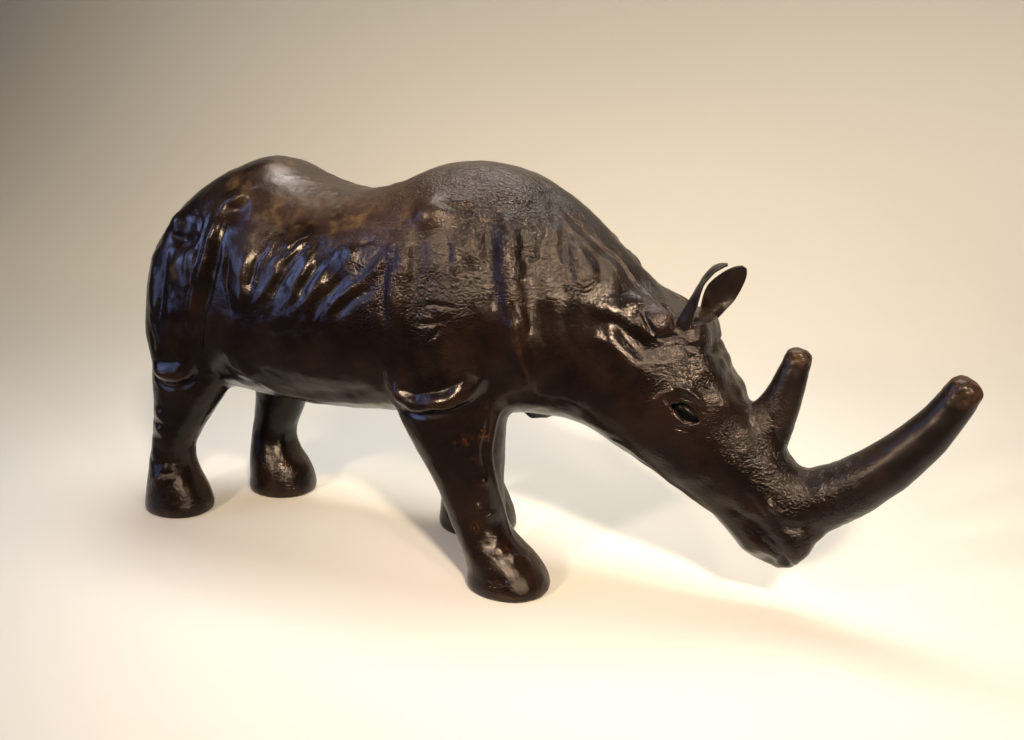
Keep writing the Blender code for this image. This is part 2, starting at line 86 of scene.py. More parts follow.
# Strokes on both flanks: kind, width, height, then x and z along the line.
# crease sinks, ridge rises, roll is a ridge between two grooves
FLANK_STROKES = (
    # hip knob, thigh flap and the ridge that runs up from it
    ("crease", 3.2, 1.6, ((-145, 267), (-140, 262), (-130, 260), (-112, 264), (-105, 271))),
    ("crease", 2.8, 1.0, ((-113, 265), (-110, 274), (-115, 281), (-125, 286))),
    ("ridge", 2.6, 0.6, ((-144, 257), (-134, 260), (-120, 262), (-108, 263))),
    ("ridge", 5.2, 2.7, ((-86, 296), (-90, 281), (-93, 264), (-97, 246), (-101, 228), (-105, 210))),
    ("crease", 3.0, 1.3, ((-98, 290), (-102, 276), (-105, 260), (-107, 243), (-111, 224))),
    ("crease", 3.2, 2.0, ((-121, 150), (-111, 168), (-104, 190), (-97, 210), (-91, 228), (-86, 246),
        (-82, 263), (-79, 280))),
    ("ridge", 8.0, 2.2, ((-131, 256), (-128, 240), (-130, 222), (-133, 202), (-135, 182))),
    ("ridge", 2.4, 0.7, ((-119, 256), (-117, 244), (-118, 229))),
    ("ridge", 7.0, 2.0, ((-157, 248), (-159, 228), (-157, 206), (-154, 186))),
    ("crease", 3.7, 1.4, ((-143, 254), (-143, 234), (-146, 210), (-147, 188))),
    ("crease", 2.8, 0.9, ((-115, 252), (-112, 234), (-115, 209), (-120, 181))),
    ("ridge", 2.9, 0.7, ((-137, 205), (-137, 188), (-137, 166))),
    ("ridge", 3.1, 0.9, ((-161, 199), (-158, 185), (-154, 172), (-154, 157))),
    ("roll", 6.0, 3.0, ((-167, 150), (-157, 144), (-143, 143), (-130, 146), (-119, 155))),
    ("crease", 2.8, 1.6, ((-172, 144), (-164, 132), (-149, 128), (-135, 131), (-123, 139), (-116, 151))),
    ("ridge", 3.3, 1.2, ((-88, 293), (-80, 297), (-74, 301), (-68, 305), (-60, 310))),
    ("crease", 5.4, 1.4, ((-86, 287), (-78, 290), (-70, 293), (-62, 298))),
    ("ridge", 3.6, 0.4, ((-124, 293), (-106, 299), (-87, 304))),
    ("ridge", 3.6, 0.7, ((-181, 232), (-182, 204), (-176, 172), (-170, 150))),
    # ribs: broad bulges with grooves between them and thin crisp lines over them
    ("ridge", 9.5, 1.9, ((-53, 262), (-56, 247), (-58, 233), (-58, 219), (-56, 206))),
    ("crease", 2.8, 1.2, ((-70, 260), (-72, 248), (-72, 234), (-70, 218), (-68, 204))),
    ("crease", 1.6, 1.0, ((-31, 269), (-38, 261), (-44, 252), (-46, 240), (-48, 224))),
    ("ridge", 1.4, 0.7, ((-27, 268), (-34, 260), (-40, 250), (-43, 238), (-44, 222))),
    ("ridge", 6.0, 1.8, ((-19, 260), (-26, 250), (-31, 238), (-35, 225), (-36, 212))),
    ("crease", 3.5, 1.2, ((4, 270), (-6, 260), (-14, 250), (-20, 238), (-25, 226), (-27, 214))),
    ("ridge", 1.5, 0.8, ((3, 275), (-9, 271), (-16, 265), (-25, 258))),
    ("ridge", 1.5, 0.9, ((6, 268), (-4, 260), (-12, 252), (-19, 241), (-25, 229))),
    ("ridge", 6.0, 1.8, ((10, 262), (3, 252), (-3, 241), (-8, 229), (-11, 217))),
    ("crease", 3.5, 1.2, ((22, 262), (13, 253), (6, 242), (0, 230), (-4, 218))),
    ("ridge", 6.0, 1.8, ((30, 256), (20, 246), (13, 235), (8, 224), (4, 212))),
    ("crease", 3.7, 1.3, ((44, 252), (33, 241), (23, 230), (15, 218), (11, 207))),
    ("ridge", 3.6, 1.9, ((73, 275), (69, 261), (60, 249), (46, 239), (34, 227), (20, 210))),
    ("crease", 3.5, 1.1, ((70, 246), (60, 237), (46, 228), (33, 214))),
    ("ridge", 3.0, 1.2, ((80, 281), (76, 269), (69, 256), (63, 243))),
    ("ridge", 6.5, 1.1, ((48, 270), (40, 260), (32, 250))),
    ("crease", 1.5, 0.6, ((46, 271), (55, 275), (63, 279))),
    # belly edge, groin and brisket
    ("crease", 4.6, 1.0, ((-60, 146), (-37, 142), (-16, 141), (14, 144), (39, 150), (66, 163))),
    ("ridge", 2.6, 0.7, ((-73, 157), (-58, 149), (-50, 142), (-40, 136), (-21, 135), (19, 136), (58, 142))),
    ("ridge", 4.2, 0.8, ((-70, 194), (-69, 176), (-66, 161), (-55, 150))),
    # shoulder
    ("crease", 2.6, 0.9, ((108, 307), (118, 305), (126, 303), (134, 303), (141, 308))),
    ("ridge", 2.7, 1.0, ((117, 308), (127, 307), (135, 309))),
    ("ridge", 7.5, 2.6, ((91, 288), (91, 275), (91, 263), (87, 249), (85, 234), (88, 215))),
    ("crease", 3.8, 1.3, ((71, 272), (75, 259), (75, 244), (75, 229), (79, 211))),
    ("crease", 3.1, 1.3, ((96, 284), (98, 268), (98, 251), (96, 233), (93, 213))),
    ("ridge", 6.3, 1.7, ((109, 284), (111, 267), (111, 249))),
    ("crease", 3.1, 1.3, ((121, 287), (124, 273), (125, 260), (124, 244))),
    ("ridge", 2.8, 1.3, ((129, 285), (130, 271), (131, 254))),
    ("ridge", 7.2, 1.9, ((134, 302), (137, 289), (138, 276), (138, 260))),
    ("crease", 1.6, 0.8, ((138, 300), (143, 289), (146, 280))),
    ("crease", 4.3, 1.4, ((146, 302), (151, 284), (155, 264), (156, 244))),
    ("ridge", 7.8, 3.0, ((156, 308), (165, 291), (170, 273), (173, 256), (177, 238), (180, 215),
        (184, 190))),
    ("crease", 3.8, 1.0, ((166, 303), (175, 285), (180, 268), (183, 248), (187, 227), (191, 205),
        (195, 180))),
    ("ridge", 5.1, 1.7, ((180, 289), (184, 278), (186, 266))),
    ("crease", 3.8, 0.6, ((187, 297), (191, 277), (193, 257))),
    ("ridge", 3.2, 1.1, ((193, 296), (199, 281), (203, 269), (207, 255))),
    ("crease", 3.1, 1.5, ((199, 293), (205, 278), (212, 264), (219, 250))),
    ("ridge", 9.3, 2.5, ((209, 288), (217, 274), (223, 263), (229, 248))),
    ("crease", 3.4, 1.4, ((224, 282), (231, 266), (235, 252))),
    ("ridge", 6.3, 1.9, ((232, 275), (240, 265), (246, 255))),
    ("crease", 2.7, 1.1, ((184, 311), (191, 302), (196, 292))),
    # upper arm, its hem and the fold before the chest
    ("roll", 5.1, 2.5, ((80, 164), (88, 156), (100, 153), (118, 156), (133, 160), (143, 168), (150, 179))),
    ("crease", 2.5, 1.4, ((72, 150), (84, 143), (106, 144), (127, 148), (141, 154), (150, 161), (156, 170))),
    ("crease", 2.6, 0.6, ((98, 219), (115, 219), (132, 224))),
    ("ridge", 2.1, 0.7, ((100, 217), (108, 221), (125, 222))),
    ("crease", 2.0, 0.8, ((115, 204), (120, 212), (124, 218))),
    ("crease", 2.4, 0.9, ((108, 230), (122, 233), (136, 232))),
    ("crease", 2.2, 0.9, ((174, 246), (182, 223), (188, 204), (193, 187), (196, 170), (194, 155))),
    ("ridge", 2.5, 0.8, ((171, 242), (178, 220), (184, 203), (190, 185), (193, 166))),
    # mouth corner wrinkles
    ("crease", 2.2, 0.7, ((352, 108), (362, 98), (367, 88))),
    # hind leg wrinkles
    ("crease", 3.6, 0.6, ((-180, 111), (-168, 106), (-156, 109))),
    ("crease", 3.2, 0.6, ((-184, 94), (-172, 90), (-161, 92))),
    ("crease", 3.2, 0.6, ((-187, 78), (-175, 74), (-164, 77))),
    ("crease", 3.0, 0.7, ((-190, 54), (-174, 49), (-156, 52))),
)

# Strokes in space on the near side and mirrored on the far one, drawn onto the hide: kind, width, height,
# points
SPACE_STROKES = (
    # crest
    ("crease", 2.2, 2.6, ((186, 16, 311), (194, 20, 305), (205, 20, 296), (218, 21, 286), (228, 20, 278),
        (238, 18, 269), (250, 18, 258), (264, 22, 249), (276, 27, 241))),
    ("ridge", 2.4, 1.7, ((185, 27, 308), (193, 28, 303), (203, 30, 294), (215, 31, 285), (227, 30, 275),
        (237, 28, 267), (250, 27, 255), (262, 30, 247))),
    # eye and brow
    ("ridge", 2.6, 2.1, ((297, 46, 187), (303, 45, 185), (308, 43, 182), (313, 42, 178), (318, 40, 172),
        (320, 39, 166))),
    ("crease", 1.4, 0.9, ((300, 44, 179), (306, 43, 177.5), (312, 41, 174), (318, 40, 168.5))),
    ("ridge", 1.3, 0.9, ((294, 46, 171), (298, 45, 174), (303, 44, 175), (309, 42, 173.5), (314, 41, 170),
        (319, 40, 165), (321, 39, 160))),
    ("ridge", 1.3, 0.5, ((295, 46, 169), (298.5, 45, 164), (303, 45, 159.5), (307.5, 43, 157),
        (312, 42, 155.8), (317, 41, 156.5), (320, 40, 158.5))),
    ("crease", 1.8, 0.6, ((293, 46, 165), (297, 45, 159), (301, 44, 155), (307, 42, 152.5), (315, 41, 152))),
    ("crease", 1.6, 1.0, ((288, 47, 177), (293, 46, 173), (296, 46, 170))),
    ("ridge", 2.2, 1.1, ((277, 49, 169), (284, 48, 174), (290, 46, 179), (298, 46, 184))),
    ("crease", 2.8, 0.5, ((293, 46, 150), (304, 44, 144), (315, 41, 136), (326, 38, 125))),
    # muzzle
    ("ridge", 3.4, 0.4, ((381, 28, 92), (387, 27, 92), (393, 26, 91.5), (399, 24, 93))),
    ("crease", 3.2, 1.2, ((379, 28, 87), (386, 27, 84), (393, 26, 83.5), (401, 23, 86))),
    ("crease", 1.6, 1.2, ((368, 28, 103), (372, 28, 96), (378, 27, 91))),
    ("crease", 1.5, 1.0, ((372, 27, 108), (377, 27, 100), (384, 26, 96))),
    # neck lumps, cheek and poll
    ("roll", 6.5, 0.5, ((236, 53, 214), (244, 53, 218), (252, 51, 215), (261, 50, 207), (270, 51, 196))),
    ("crease", 4.5, 0.8, ((261, 43, 214), (269, 44, 207), (277, 42, 208), (286, 38, 213), (296, 33, 216))),
    ("crease", 3.4, 0.3, ((238, 52, 205), (247, 52, 201), (257, 52, 197), (267, 51, 190))),
    ("crease", 1.8, 2.2, ((265, 35, 239), (270, 38, 232), (276, 40, 224), (280, 39, 219))),
    ("crease", 2.0, 2.0, ((278, 40, 219), (286, 36, 219), (296, 33, 222))),
    ("crease", 2.0, 2.0, ((276, 24, 243), (284, 26, 238), (292, 32, 232), (296, 33, 224))),
    ("crease", 1.8, 1.8, ((298, 35, 232), (301, 28, 229), (306, 22, 231), (311, 10, 232), (314, 0, 231))),
    ("crease", 2.4, 1.9, ((297, 34, 217), (304, 34, 215), (311, 30, 213), (317, 18, 209), (320, 4, 205))),
    # jaw
    ("ridge", 2.6, 1.7, ((236, 28, 135), (251, 35, 133), (264, 38, 131), (276, 36, 124), (288, 33, 112),
        (305, 28, 98), (322, 24, 86), (337, 20, 75))),
    ("crease", 2.2, 1.4, ((262, 30, 124), (274, 29, 116), (288, 26, 104), (306, 21, 90))),
)

# Lumps and hollows, mirrored: x, y, z, spread, height
SPACE_LUMPS = (
    (-139, 57, 273, 9, 3.0), (-147, 71, 139, 9, 1.6), (-121, 75, 156, 5, 1.4), (-75, 67, 288, 8, -1.2),
    (-3, 64, 285, 10, -0.8), (56, 60, 286, 7, 0.9), (103, 62, 296, 13, 6.0), (131, 53, 308, 6, 1.3),
    (176, 40, 306, 9, -1.6), (86, 84, 158, 8, 2.6), (281, 33, 229, 10, 3.2), (266, 37, 231, 6, 1.6),
    (248, 41, 236, 9, 1.5), (236, 46, 238, 6, 1.2), (250, 49, 222, 8, 1.2), (226, 53, 172, 12, 1.6),
    (315, 28, 198, 11, 2.0), (309, 40, 190, 5, 1.0), (325, 8, 202, 8, 1.6), (341, 8, 181, 7, 2.0),
    (334, 9, 191, 4.5, -1.8), (318, 10, 208, 4.5, -1.4), (333, 30, 174, 8, 1.6), (352, 26, 150, 8, 1.4),
    (373, 27, 97, 5, 1.8), (379, 12, 50, 13, -7.5), (396, 8, 51, 10, -3.0), (409, 12, 76, 7, 2.2),
    (316, 8, 222, 10, -2.6), (320, 8, 209, 7, -2.4), (262, 20, 250, 9, -1.5), (372, 29, 100, 4.5, 1.2),
    (379, 28, 95, 4, 1.0), (354, 28, 89, 5, 1.2), (276, 40, 130, 12, 1.2), (300, 33, 110, 13, 1.6),
    (322, 24, 90, 13, 1.8), (342, 20, 70, 10, 0.6), (-166, 66, 98, 5, 1.6), (-169, 65, 83, 4.5, 1.5),
    (-166, 64, 66, 4.5, 1.3),
)

# Strokes that aren't mirrored: on the near fore leg and the far one, the brisket's edge and the rump's middle
LONE_STROKES = (
    ("ridge", 1.5, 1.4, ((176, -49, 160), (167, -52, 153), (163, -60, 146), (162, -64, 135), (161, -66, 119),
        (163, -62, 97), (166, -55, 74), (169, -48, 54), (178, -52, 41), (190, -55, 34))),
    ("crease", 1.6, 1.1, ((158, -68, 150), (157, -70, 135), (156, -71, 119), (158, -67, 97))),
    ("ridge", 1.5, 1.4, ((124, 49, 150), (121, 55, 130), (119, 60, 112), (115, 62, 92), (114, 60, 72),
        (116, 55, 52), (124, 52, 40))),
    ("ridge", 3.4, 2.4, ((128, -6, 136), (138, -7, 135), (150, -2, 136), (162, -5, 136), (172, -9, 137),
        (184, -10, 137), (196, -7, 140), (206, -2, 147))),
    ("ridge", 5.5, 5.0, ((164, -6, 136), (174, -7, 135), (184, -5, 134), (194, -6, 137))),
    ("crease", 2.6, 3.0, ((150, -12, 138), (160, -14, 138), (170, -19, 139), (184, -20, 140),
        (196, -16, 143))),
    ("crease", 2.6, 3.6, ((196, -12, 138), (205, -8, 142), (212, 0, 142), (205, 8, 142))),
    ("crease", 2.0, 1.2, ((-203, 0, 240), (-216, 0, 214), (-223, 0, 180), (-219, 0, 150))),
)
# Strokes round the mouth and the lips, from one side to the middle line and mirrored from there
LIP_STROKES = (
    ("crease", 1.7, 1.7, ((355, -28, 84), (361, -28, 79), (367, -28, 74), (373, -27, 68), (379, -26, 62),
        (384, -24, 57), (388, -18, 53), (389, 0, 51))),
    ("crease", 3.2, 3.4, ((378, -27, 63), (384, -24, 57), (388, -16, 52), (389, 0, 50))),
    ("ridge", 3.8, 1.2, ((346, -28, 82), (354, -28, 75), (361, -28, 69), (368, -27, 63), (375, -25, 57),
        (380, -18, 53), (381, 0, 51))),
)
# Swellings and hollows on one side only: x, y, z, spread, height
LONE_LUMPS = (
    (-91, 41, 52, 11, -3.6), (-84, 41, 24, 12, 2.6), (-118, 45, 12, 12, 1.6), (62, -52, 46, 10, -1.6),
    (152, -60, 75, 12, -1.2), (148, -74, 98, 9, -1.4),
)
# Crumpled spots on the near legs, given in the same way
SCUFFS = (
    (153, -71, 72, 3.5, 1.1), (161, -67, 64, 4.0, 1.0), (168, -68, 45, 5.0, 1.3), (174, -70, 37, 5.0, 1.2),
    (183, -66, 33, 5.0, 1.1), (192, -58, 30, 4.5, 0.9), (157, -70, 92, 4.0, 0.8), (148, -76, 112, 4.5, 0.8),
    (138, -79, 124, 5.0, 0.9), (156, -70, 132, 4.5, 0.9), (-160, -68, 40, 6.0, 1.2),
    (-172, -69, 34, 6.0, 1.2), (-151, -62, 34, 5.0, 1.0),
)

# Unevenness of the whole skin: height, size and seed, and where it sets in over the even soles
SKIN_NOISE = ((0.55, 21, 1), (0.32, 9.5, 2), (0.16, 4.6, 3))
NOISE_FROM = (4, 16)
# Grain on rough skin and at the horns' roots: size and seed, and its height on each
GRAIN = (4.6, 4)
GRAIN_ON_HIDE = 0.16
GRAIN_ON_HORN = 0.3
# Fine lines along the ribs: height, size and seed, the way they run in x and z, and their stretch
RIB_FIBRE = (0.30, 3.2, 5)
FIBRE_TURN = (0.78, 0.62)
FIBRE_STRETCH = 0.16
# The shoulder's smooth knob: centre, and how far round it the skin stays smooth
KNOB = (103, 62, 296)
KNOB_SMOOTH = 16
# Painted shade inside the nostril: x, y, z, spread and strength
NOSTRIL_SHADE = (389, 26, 84, 8, 1.5)
# Rough skin: along and up the shoulder and the lower neck, where it ends, along the face, up the lower legs
SHOULDER_ALONG = (20, 90)
SHOULDER_UP = (185, 245)
LOWER_NECK_ALONG = (130, 165)
LOWER_NECK_UP = (252, 228)
FACE_ALONG = (235, 290)
LEG_UP = (60, 30)
# Golden patches along the back on both sides, and small rust-red ones: x, y, z, spread
GOLD_PATCHES = (
    (-61, 16, 326, 13), (-37, 65, 284, 20), (15, 64, 281, 15), (75, 66, 289, 14),
    (98, 20, 330, 14), (-85, 50, 308, 16), (36, 60, 290, 14), (-128, 76, 236, 9),
)
RUST_PATCHES = (
    (157, -70, 134, 4.5), (153, -74, 56, 3.4), (146, -78, 128, 3.0), (176, -64, 37, 3.2),
    (-98, 24, 30, 5.0), (302, -34, 229, 3.5),
)
# Passes that part the fine relief from the swell below it, for the wear
FINE_PASSES = 14
SWELL_PASSES = 40

# Leathers: dark ground, brown, bright wear, then the strength of grain and of cracks, and the roughness
LEATHERS = {
    "hide_leather": ((0.0030, 0.0018, 0.0015), (0.0085, 0.0046, 0.0031), (0.036, 0.017, 0.0095),
                     1.0, 1.0, 0.24),
    "horn_hide": ((0.0040, 0.0028, 0.0025), (0.0095, 0.0062, 0.0050), (0.055, 0.027, 0.017), 0.9, 0.6, 0.36),
    "ear_hide": ((0.0040, 0.0030, 0.0028), (0.0080, 0.0056, 0.0050), (0.030, 0.019, 0.014), 0.4, 0.25, 0.33),
    "tail_hide": ((0.0045, 0.0030, 0.0025), (0.011, 0.0066, 0.0048), (0.035, 0.019, 0.012), 0.6, 0.3, 0.30),
}
# Numbers that a piece's vertices keep for its leather, between 0 and 1
WEAR_NAMES = ("wear", "hollow_shade", "gold", "rust", "dull_and_sheen", "grain")
# Colours that they share: golden and rust-red wear, a matt brown that is partly a painted sheen, painted
# shade for hollows, and cracks
GOLD = (0.080, 0.048, 0.014)
RUST = (0.105, 0.030, 0.010)
MATT_BROWN_AND_SHEEN = (0.036, 0.020, 0.012)
HOLLOW_SHADE = (0.0035, 0.0026, 0.0024)
CRACK = (0.006, 0.004, 0.003)
# Heights of their bump in metres: pebbles, the space between cracks, dents, nubs and the finest grain
PEBBLE_RISE = 0.00010
CRACK_RISE = 0.00006
DENT_RISE = 0.0007
NUB_RISE = 0.0011
GRAIN_RISE = 0.00010
# The eyes' glass, dark and a little lighter
GLASS = ((0.0010, 0.0012, 0.0011), (0.0018, 0.0028, 0.0024))

# Horns: x and z of the middle line, widths across at the base and the tip, and how the taper bends
FRONT_HORN_LINE = ((386, 90), (412, 104), (438, 123), (460, 146), (479, 172), (493, 199))
REAR_HORN_LINE = ((353, 128), (363, 152), (370, 174), (375, 193), (378.5, 208))
FRONT_HORN_WIDTHS = (51, 24.5)
REAR_HORN_WIDTHS = (40, 19.5)
HORN_TAPER = 1.15
HORN_FLATNESS = 0.92
HORN_RINGS = 120
HORN_POINTS = 96
# The blunt end: rings, length as a share of the tip's radius, the last ring's angle and how blunt it is, then
# the shallow groove before it: depth, place and length along the horn
HORN_DOME_RINGS = 22
HORN_DOME_LENGTH = 0.68
HORN_DOME_TURN = 86
HORN_DOME_BLUNT = 0.9
HORN_GROOVE = (0.014, 0.90, 0.035)
# How far the hide's rough skin runs up each horn
HORN_SKIN_REACH = 10

# Ears: root, tip and facing, full width, the root's share of it, where the ear is widest, how round it is
# rolled at its root and its tip and by where it has opened, the hook at its end, the bow to one side and the
# bluntness
LEFT_EAR = {"root": (297, 25.5, 213), "tip": (326.5, 30.5, 268), "faces": (0.40, -0.80, 0.15), "width": 26,
            "root_share": 0.48, "widest": 0.57, "roll": (133, 35), "rolled": 0.59, "hook": 6, "hook_turn": 3,
            "bow": -2.9, "blunt": 1.5}
RIGHT_EAR = {"root": (291.5, -27.8, 229.5), "tip": (316.5, -33.5, 280), "faces": (0.88, 0.24, -0.42),
             "width": 25, "root_share": 1.08, "widest": 0.36, "roll": (124, 16), "rolled": 0.66, "hook": 10,
             "hook_turn": 9, "bow": 0, "blunt": 1.7}
EAR_ROWS = 90
EAR_COLUMNS = 44
EAR_LEATHER = 1.5
EAR_RIM_BEND = 0.9
EAR_EDGE_ROUND = 0.35

# Tail: height of its root, drop, rings and points, half width and half thickness, how deep it sits in the
# hide and how far it sways
TAIL_TOP = 258
TAIL_DROP = 138
TAIL_RINGS = 110
TAIL_POINTS = 20
TAIL_HALF = (4.3, 2.6)
TAIL_SUNK = 1.0
TAIL_SWAY = 1.3

# The photograph's camera, in metres in the row frame
CAMERA_PLACE = (0.3045, -0.7272, 0.376)
CAMERA_ASPECT_WIDTH = 1024
CAMERA_FOCUS = 970
CAMERA_SENSOR = 36
CAMERA_FORWARD = (-0.3615, 0.8962, -0.2571)
CAMERA_RIGHT = (0.9274, 0.3741, 0.0)
CAMERA_ROLL = 2.1

# The floor in metres: where it begins, where it starts to curve up, the curve's radius and steps, the wall's
# height, half the width, and how far it lies under the soles
FLOOR_NEAR = -3.0
FLOOR_CURVES_AT = 0.9
FLOOR_CURVE = 0.7
FLOOR_CURVE_STEPS = 12
WALL_HEIGHT = 3.2
FLOOR_HALF_WIDTH = 4
FLOOR_GAP = 0.0003
FLOOR_COLOUR = (0.61, 0.665, 0.665)
# The dark card's front edge stands this far before the figure's middle, just over the floor
CARD_EDGE = -0.11
CARD_NEAR = -3
CARD_HALF_WIDTH = 2
CARD_HEIGHT = 0.001
CARD_COLOUR = (0.10, 0.10, 0.10)
# The faint light from all round
SURROUNDINGS = (0.8, 0.8, 0.9)
SURROUNDINGS_STRENGTH = 0.05

# Lights: name, place, aim, size, watts, colour and how wide each one throws its light, in degrees
LIGHTS = (
    ("ceiling", (0, 0.25, 1.45), (0, 0, 0.2), (1.10, 0.60), 5.0, (1.0, 0.90, 0.82), 100),
    ("ceiling_left", (-0.35, 0.35, 1.40), (-0.1, 0.05, 0.2), (0.36, 0.24), 0.5, (1.0, 0.88, 0.78), 75),
    ("window", (-1.15, -0.95, 0.38), (-0.1, 0, 0.2), (0.45, 0.65), 0.27, (0.40, 0.52, 1.0), 55),
    ("window_high", (-1.20, -0.60, 0.75), (-0.1, 0, 0.2), (0.40, 0.50), 0.42, (0.38, 0.50, 1.0), 55),
    ("lamp_left", (-0.40, -1.20, 0.80), (0, 0.05, 0.15), (0.13, 0.13), 1.3, (1.0, 0.71, 0.48), 50),
    ("lamp_right", (0.70, -1.05, 1.05), (0.1, 0.05, 0.15), (0.13, 0.13), 3.2, (1.0, 0.71, 0.48), 50),
    ("lamp_side", (1.15, -0.85, 0.65), (0.1, 0.05, 0.15), (0.15, 0.15), 0.65, (1.0, 0.71, 0.48), 45),
    ("wall_wash", (0, 0.8, 2.4), (0, 1.7, 0.5), (3.6, 0.4), 36, (1.0, 0.75, 0.545), 110),
)


# Numbers on meshes
def read(mesh, name):
    """A vector of every vertex, as rows of an array."""
    values = np.empty(len(mesh.vertices) * 3)
    mesh.vertices.foreach_get(name, values)
    return values.reshape(-1, 3)


def write(mesh, places):
    """Put every vertex in its new place."""
    mesh.vertices.foreach_set("co", np.ascontiguousarray(places, dtype=float).ravel())
    mesh.update()


def to_grid(places):
    """Row frame metres to grid millimetres."""
    return (places - (GRID_ZERO_X, 0, 0)) / MM


def to_row(places):
    """Grid millimetres to row frame metres."""
    return np.asarray(places, float) * MM + (GRID_ZERO_X, 0, 0)


def ease(low, high, values):
    """A smooth step from 0 at low to 1 at high."""
    t = np.clip((values - low) / (high - low), 0, 1)
    return t * t * (3 - 2 * t)


def cloud(places, size, seed):
    """Smooth noise between -1 and 1 with lumps of about the given size, the same every time."""
    lattice = np.random.default_rng(seed).uniform(-1, 1, (32, 32, 32))
    scaled = np.asarray(places, float) @ TILT / size
    cell = np.floor(scaled).astype(int)
    part = scaled - cell
    part = part * part * (3 - 2 * part)
    total = np.zeros(len(scaled))
    for corner in range(8):
        bits = np.array([(corner >> axis) & 1 for axis in range(3)])
        weight = np.prod(np.where(bits, part, 1 - part), axis=1)
        i, j, k = ((cell + bits) % 32).T
        total += weight * lattice[i, j, k]
    return total


def smooth_line(points, count):
    """Points evenly spaced along one smooth curve through the given points."""
    points = np.array(points, float)
    knots = np.concatenate(([0], np.cumsum(np.linalg.norm(np.diff(points, axis=0), axis=1))))
    slopes = np.gradient(points, knots, axis=0)
    places = np.linspace(0, knots[-1], count)
    spans = np.clip(np.searchsorted(knots, places, side="right") - 1, 0, len(knots) - 2)
    width = (knots[spans + 1] - knots[spans])[:, None]
    t = (places[:, None] - knots[spans][:, None]) / width
    return ((2 * t**3 - 3 * t**2 + 1) * points[spans] + (t**3 - 2 * t**2 + t) * slopes[spans] * width
            + (3 * t**2 - 2 * t**3) * points[spans + 1] + (t**3 - t**2) * slopes[spans + 1] * width)


def bell(distance, width):
    """1 at no distance, falling off smoothly over the width."""
    return np.exp(-(distance / width) ** 2)


def stroke(places, kind, width, height, line):
    """The lift that one stroke gives each place, in a plane or in space."""
    line = smooth_line(line, 6 * len(line))
    lift = np.zeros(len(places))
    reach = 5 * width
    inside = np.all((places > line.min(0) - reach) & (places < line.max(0) + reach), axis=1)
    index = np.nonzero(inside)[0]
    if not len(index):
        return lift
    here = places[index]
    lengths = np.linalg.norm(np.diff(line, axis=0), axis=1)
    before = np.concatenate(([0], np.cumsum(lengths)))
    distance = np.full(len(here), np.inf)
    along = np.zeros(len(here))
    for k, (start, end) in enumerate(zip(line, line[1:])):
        step = end - start
        t = np.clip((here - start) @ step / (step @ step), 0, 1)
        gap = here - start - t[:, None] * step
        away = np.linalg.norm(gap, axis=1)
        closer = away < distance
        distance[closer] = away[closer]
        along[closer] = (before[k] + t[closer] * lengths[k]) / before[-1]
    ends = ease(0, STROKE_FADE, np.minimum(along, 1 - along))
    width = width * (0.6 + 0.4 * ends)
    if kind == "crease":
        made = -height * (bell(distance, width) - 0.12 * bell(distance - 2 * width, width))
    elif kind == "ridge":
        made = height * bell(distance, width)
    else:
        groove = bell(distance - 1.8 * width, 0.6 * width)
        made = height * (bell(distance, width) - 0.6 * groove)
    lift[index] = ends * made
    return lift


def snapped(line, places):
    """Each point of a line moved to the nearest place on the surface."""
    return [places[np.argmin(((places - point) ** 2).sum(1))] for point in np.array(line, float)]


def lump(places, x, y, z, spread, height):
    """The lift of one round swelling or hollow."""
    return height * bell(np.linalg.norm(places - (x, y, z), axis=1), spread)


def soften(places, edges, passes, share):
    """Move every place towards the mean of its neighbours, by its own share, pass after pass."""
    a, b = edges.T
    count = len(places)
    degree = np.maximum(np.bincount(a, minlength=count) + np.bincount(b, minlength=count), 1)
    share = np.broadcast_to(share, count)[:, None]
    for _ in range(passes):
        mean = np.empty_like(places)
        for axis in range(3):
            total = np.bincount(a, places[b, axis], count) + np.bincount(b, places[a, axis], count)
            mean[:, axis] = total / degree
        places = places + share * (mean - places)
    return places


def edge_pairs(mesh):
    """The two ends of every edge."""
    ends = np.empty(len(mesh.edges) * 2, dtype=np.int32)
    mesh.edges.foreach_get("vertices", ends)
    return ends.reshape(-1, 2)


def nearest(tree, places):
    """How far each place is from a surface."""
    return np.array([tree.find_nearest(Vector(place))[3] for place in to_row(places)]) / MM


def from_solids(names, places):
    """How far each place is from the nearest of the named solids."""
    bm = bmesh.new()
    for name in names:
        bm.from_mesh(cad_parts[name].data)
    tree = BVHTree.FromBMesh(bm)
    bm.free()
    return nearest(tree, places)


def surface(thing):
    """An object's surface, to measure to."""
    return BVHTree.FromObject(thing, bpy.context.evaluated_depsgraph_get())


# Objects
def new_object(name, bm):
    """An object made from a finished bmesh."""
    bmesh.ops.recalc_face_normals(bm, faces=bm.faces)
    mesh = bpy.data.meshes.new(name)
    bm.to_mesh(mesh)
    bm.free()
    thing = bpy.data.objects.new(name, mesh)
    bpy.context.scene.collection.objects.link(thing)
    return thing


def tube(name, rings):
    """A closed tube over rings of equally many places."""
    count = len(rings[0])
    bm = bmesh.new()
    made = [[bm.verts.new(place) for place in ring] for ring in rings]
    for lower, upper in zip(made, made[1:]):
        for j in range(count):
            k = (j + 1) % count
            bm.faces.new((lower[j], lower[k], upper[k], upper[j]))
    bm.faces.new(list(reversed(made[0])))
    bm.faces.new(made[-1])
    return new_object(name, bm)


def settle(thing):
    """Turn an object's modifiers into its mesh."""
    graph = bpy.context.evaluated_depsgraph_get()
    mesh = bpy.data.meshes.new_from_object(thing.evaluated_get(graph))
    thing.modifiers.clear()
    old = thing.data
    thing.data = mesh
    bpy.data.meshes.remove(old)


def shade_smooth(mesh):
    """Shade every face smoothly."""
    mesh.polygons.foreach_set("use_smooth", [True] * len(mesh.polygons))


